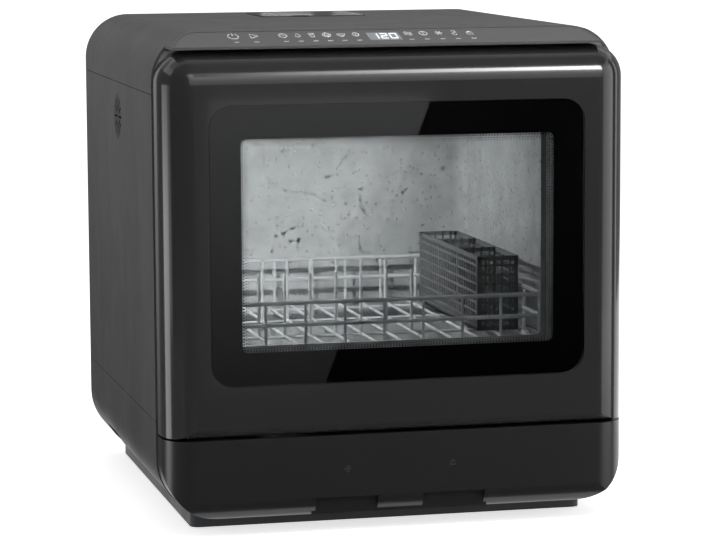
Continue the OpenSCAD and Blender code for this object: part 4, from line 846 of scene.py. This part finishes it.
# Cards that only mirrors see: corners, the strength at both ends, and the axis and span of the change
cards = {
    "floorAhead": even(lying(onFloor, (-3, -0.222), (3, -0.222), (3, -4), (-3, -4)), 0),
    "roomAhead": even(upright((-3, -4), (3, -4), 0, 3), 0),
    "roomAbove": (lying(3, (-3, -4), (3, -4), (3, 1), (-3, 1)), 0.04, 0.5, "Y", (-0.9, -0.3)),
    "roomBehind": (upright((-4, 3), (4, 3), 0, 4), 0.075, 0.3, "Z", (0.6, 2.2)),
    "besideLeft": (upright((-0.25, -0.1), (-0.25, 1.5), 0, 0.7), 0.09, 0.42, "Z", (0, 0.5)),
    "leftGlow": (upright(leftWall[1], leftWall[2], 0, 1), 3, 0.1, "Z", (0.15, 0.45)),
    "leftMid": (upright(leftWall[2], leftWall[3], 0, 1), 1, 0.1, "Z", (0.15, 0.45)),
    "leftDark": even(upright(leftWall[3], leftWall[4], 0, 1.5), 0),
    "leftRear": even(upright(leftWall[1], leftWall[0], 0, 1), 0.1),
    "floorGlow": even(lying(onFloor, leftRoll, leftWall[1], leftWall[2]), 2.6),
    "floorRear": even(lying(onFloor, leftRoll, leftWall[0], leftWall[1]), 0.1),
    "floorLeft": even(lying(overFloor, leftRoll, leftWall[2], leftWall[4]), 0.1),
    "floorRise": (lying(overFloor, rightRoll, rightWall[4], rightWall[3]), 1.0, 2.2, "X", (0.4, 1.3)),
    "floorRight": even(lying(overFloor, rightRoll, rightWall[3], rightWall[2]), 0.1),
    "rightRise": (upright(rightWall[4], rightWall[3], 0, 1.1), 1.0, 2.4, "X", (0.92, 1.55)),
    "rightDark": even(upright(rightWall[3], rightWall[2], 0, 1.5), 0),
    "rightGlow": even(upright(rightWall[2], rightWall[1], 0, 1), 1.6),
    "rightRear": even(upright(rightWall[1], rightWall[0], 0, 1.2), 0.25),
    "stripFade": (upright((-0.3, strip["front"]), (1, strip["front"]), 0.32, strip["highFront"]), 0.2, 2.2, "Z",
                  (0.32, 1.1)),
    "stripEnd": stripCard(-0.55, -0.3, 0, 2, (-0.55, -0.3), strip["front"], high=strip["highFront"]),
    "stripDim": stripCard(0.05, 0.45, 0, 10, (0.1, 0.45)),
    "stripBright": stripCard(0.45, 1, 10, 30, (0.45, 0.7)),
    "glassSheen": ([(-0.096, -0.6, 0.066), (0.0189, -0.6, 0.066), (0.1285, -0.6, 0.3466), (0.1285, -0.6, 0.3545),
                    (-0.096, -0.6, 0.3545)], 0.15, 0.6, "Z", (0.066, 0.35)),
    "lidSheenLeft": even(upright((0.52, 2.9), (0.62, 2.9), 0.53, 0.6), 0.7),
    "lidSheenRight": even(upright((0.66, 2.9), (0.86, 2.9), 0.53, 0.6), 0.7),
}


def softBox(name, at, to, size, power):
    data = bpy.data.lights.new(name, "AREA")
    data.shape = "RECTANGLE"
    data.size, data.size_y = size
    data.energy = power
    lamp = bpy.data.objects.new(name, data)
    lamp.location = at
    lamp.rotation_mode = "QUATERNION"
    lamp.rotation_quaternion = (Vector(to) - Vector(at)).to_track_quat("-Z", "Y")
    lamp.visible_glossy = False
    lamp.visible_transmission = False
    bpy.context.scene.collection.objects.link(lamp)


def seenStrength(tree, seen, rest):       # one strength where it is seen or mirrored, another where it lights
    path = addNode(tree, "ShaderNodeLightPath")
    glossy = addNode(tree, "ShaderNodeMath", operation="MAXIMUM")
    clear = addNode(tree, "ShaderNodeMath", operation="MAXIMUM")
    strength = addNode(tree, "ShaderNodeMapRange")
    strength.inputs["To Min"].default_value = rest
    strength.inputs["To Max"].default_value = seen
    tree.links.new(path.outputs["Is Camera Ray"], glossy.inputs[0])
    tree.links.new(path.outputs["Is Glossy Ray"], glossy.inputs[1])
    tree.links.new(glossy.outputs[0], clear.inputs[0])
    tree.links.new(path.outputs["Is Transmission Ray"], clear.inputs[1])
    tree.links.new(clear.outputs[0], strength.inputs["Value"])
    return strength.outputs["Result"]


def makeWorld():
    world = bpy.data.worlds.new("studioAir")
    world.use_nodes = True
    tree = world.node_tree
    air = tree.nodes["Background"]
    air.inputs["Color"].default_value = (1, 1, 1, 1)
    tree.links.new(seenStrength(tree, 1.0, studio["sky"]), air.inputs["Strength"])
    bpy.context.scene.world = world


def makeFloor():
    bm = bmesh.new()
    bmesh.ops.create_grid(bm, x_segments=1, y_segments=1, size=30)
    floor = fromBmesh("floor", bm, False)
    made, tree, shader = startFinish("floorPaint", [studio["floorTone"]] * 3, 0.9)
    shader.inputs["Specular IOR Level"].default_value = 0.1
    shader.inputs["Emission Color"].default_value = (1, 1, 1, 1)
    tree.links.new(seenStrength(tree, studio["floorGlow"], 0), shader.inputs["Emission Strength"])
    floor.data.materials.append(made)


def mirrorCard(name, corners, start, end, axis, span):
    mesh = bpy.data.meshes.new(name)
    mesh.from_pydata(corners, [], [tuple(range(len(corners)))])
    card = addMesh(name, mesh)
    paint = bpy.data.materials.new(name + "Paint")
    paint.use_nodes = True
    tree = paint.node_tree
    tree.nodes.clear()
    place = addNode(tree, "ShaderNodeTexCoord")
    axes = addNode(tree, "ShaderNodeSeparateXYZ")
    ramp = addNode(tree, "ShaderNodeMapRange")
    for label, value in zip(("From Min", "From Max", "To Min", "To Max"), (*span, start, end)):
        ramp.inputs[label].default_value = value
    glow = addNode(tree, "ShaderNodeEmission")
    done = addNode(tree, "ShaderNodeOutputMaterial")
    tree.links.new(place.outputs["Object"], axes.inputs["Vector"])
    tree.links.new(axes.outputs[axis], ramp.inputs["Value"])
    tree.links.new(ramp.outputs["Result"], glow.inputs["Strength"])
    tree.links.new(glow.outputs[0], done.inputs["Surface"])
    card.data.materials.append(paint)
    for ray in ("camera", "diffuse", "shadow", "volume_scatter"):
        setattr(card, "visible_" + ray, False)


def makeStudio():
    makeWorld()
    makeFloor()
    for key, light in studio["lights"].items():
        softBox(key + "Light", light["at"], light["to"], light["size"], light["power"])
    for key, card in cards.items():
        mirrorCard(key, *card)


makeStudio()
print("studio lit")

bpy.context.scene.view_settings.view_transform = "Standard"
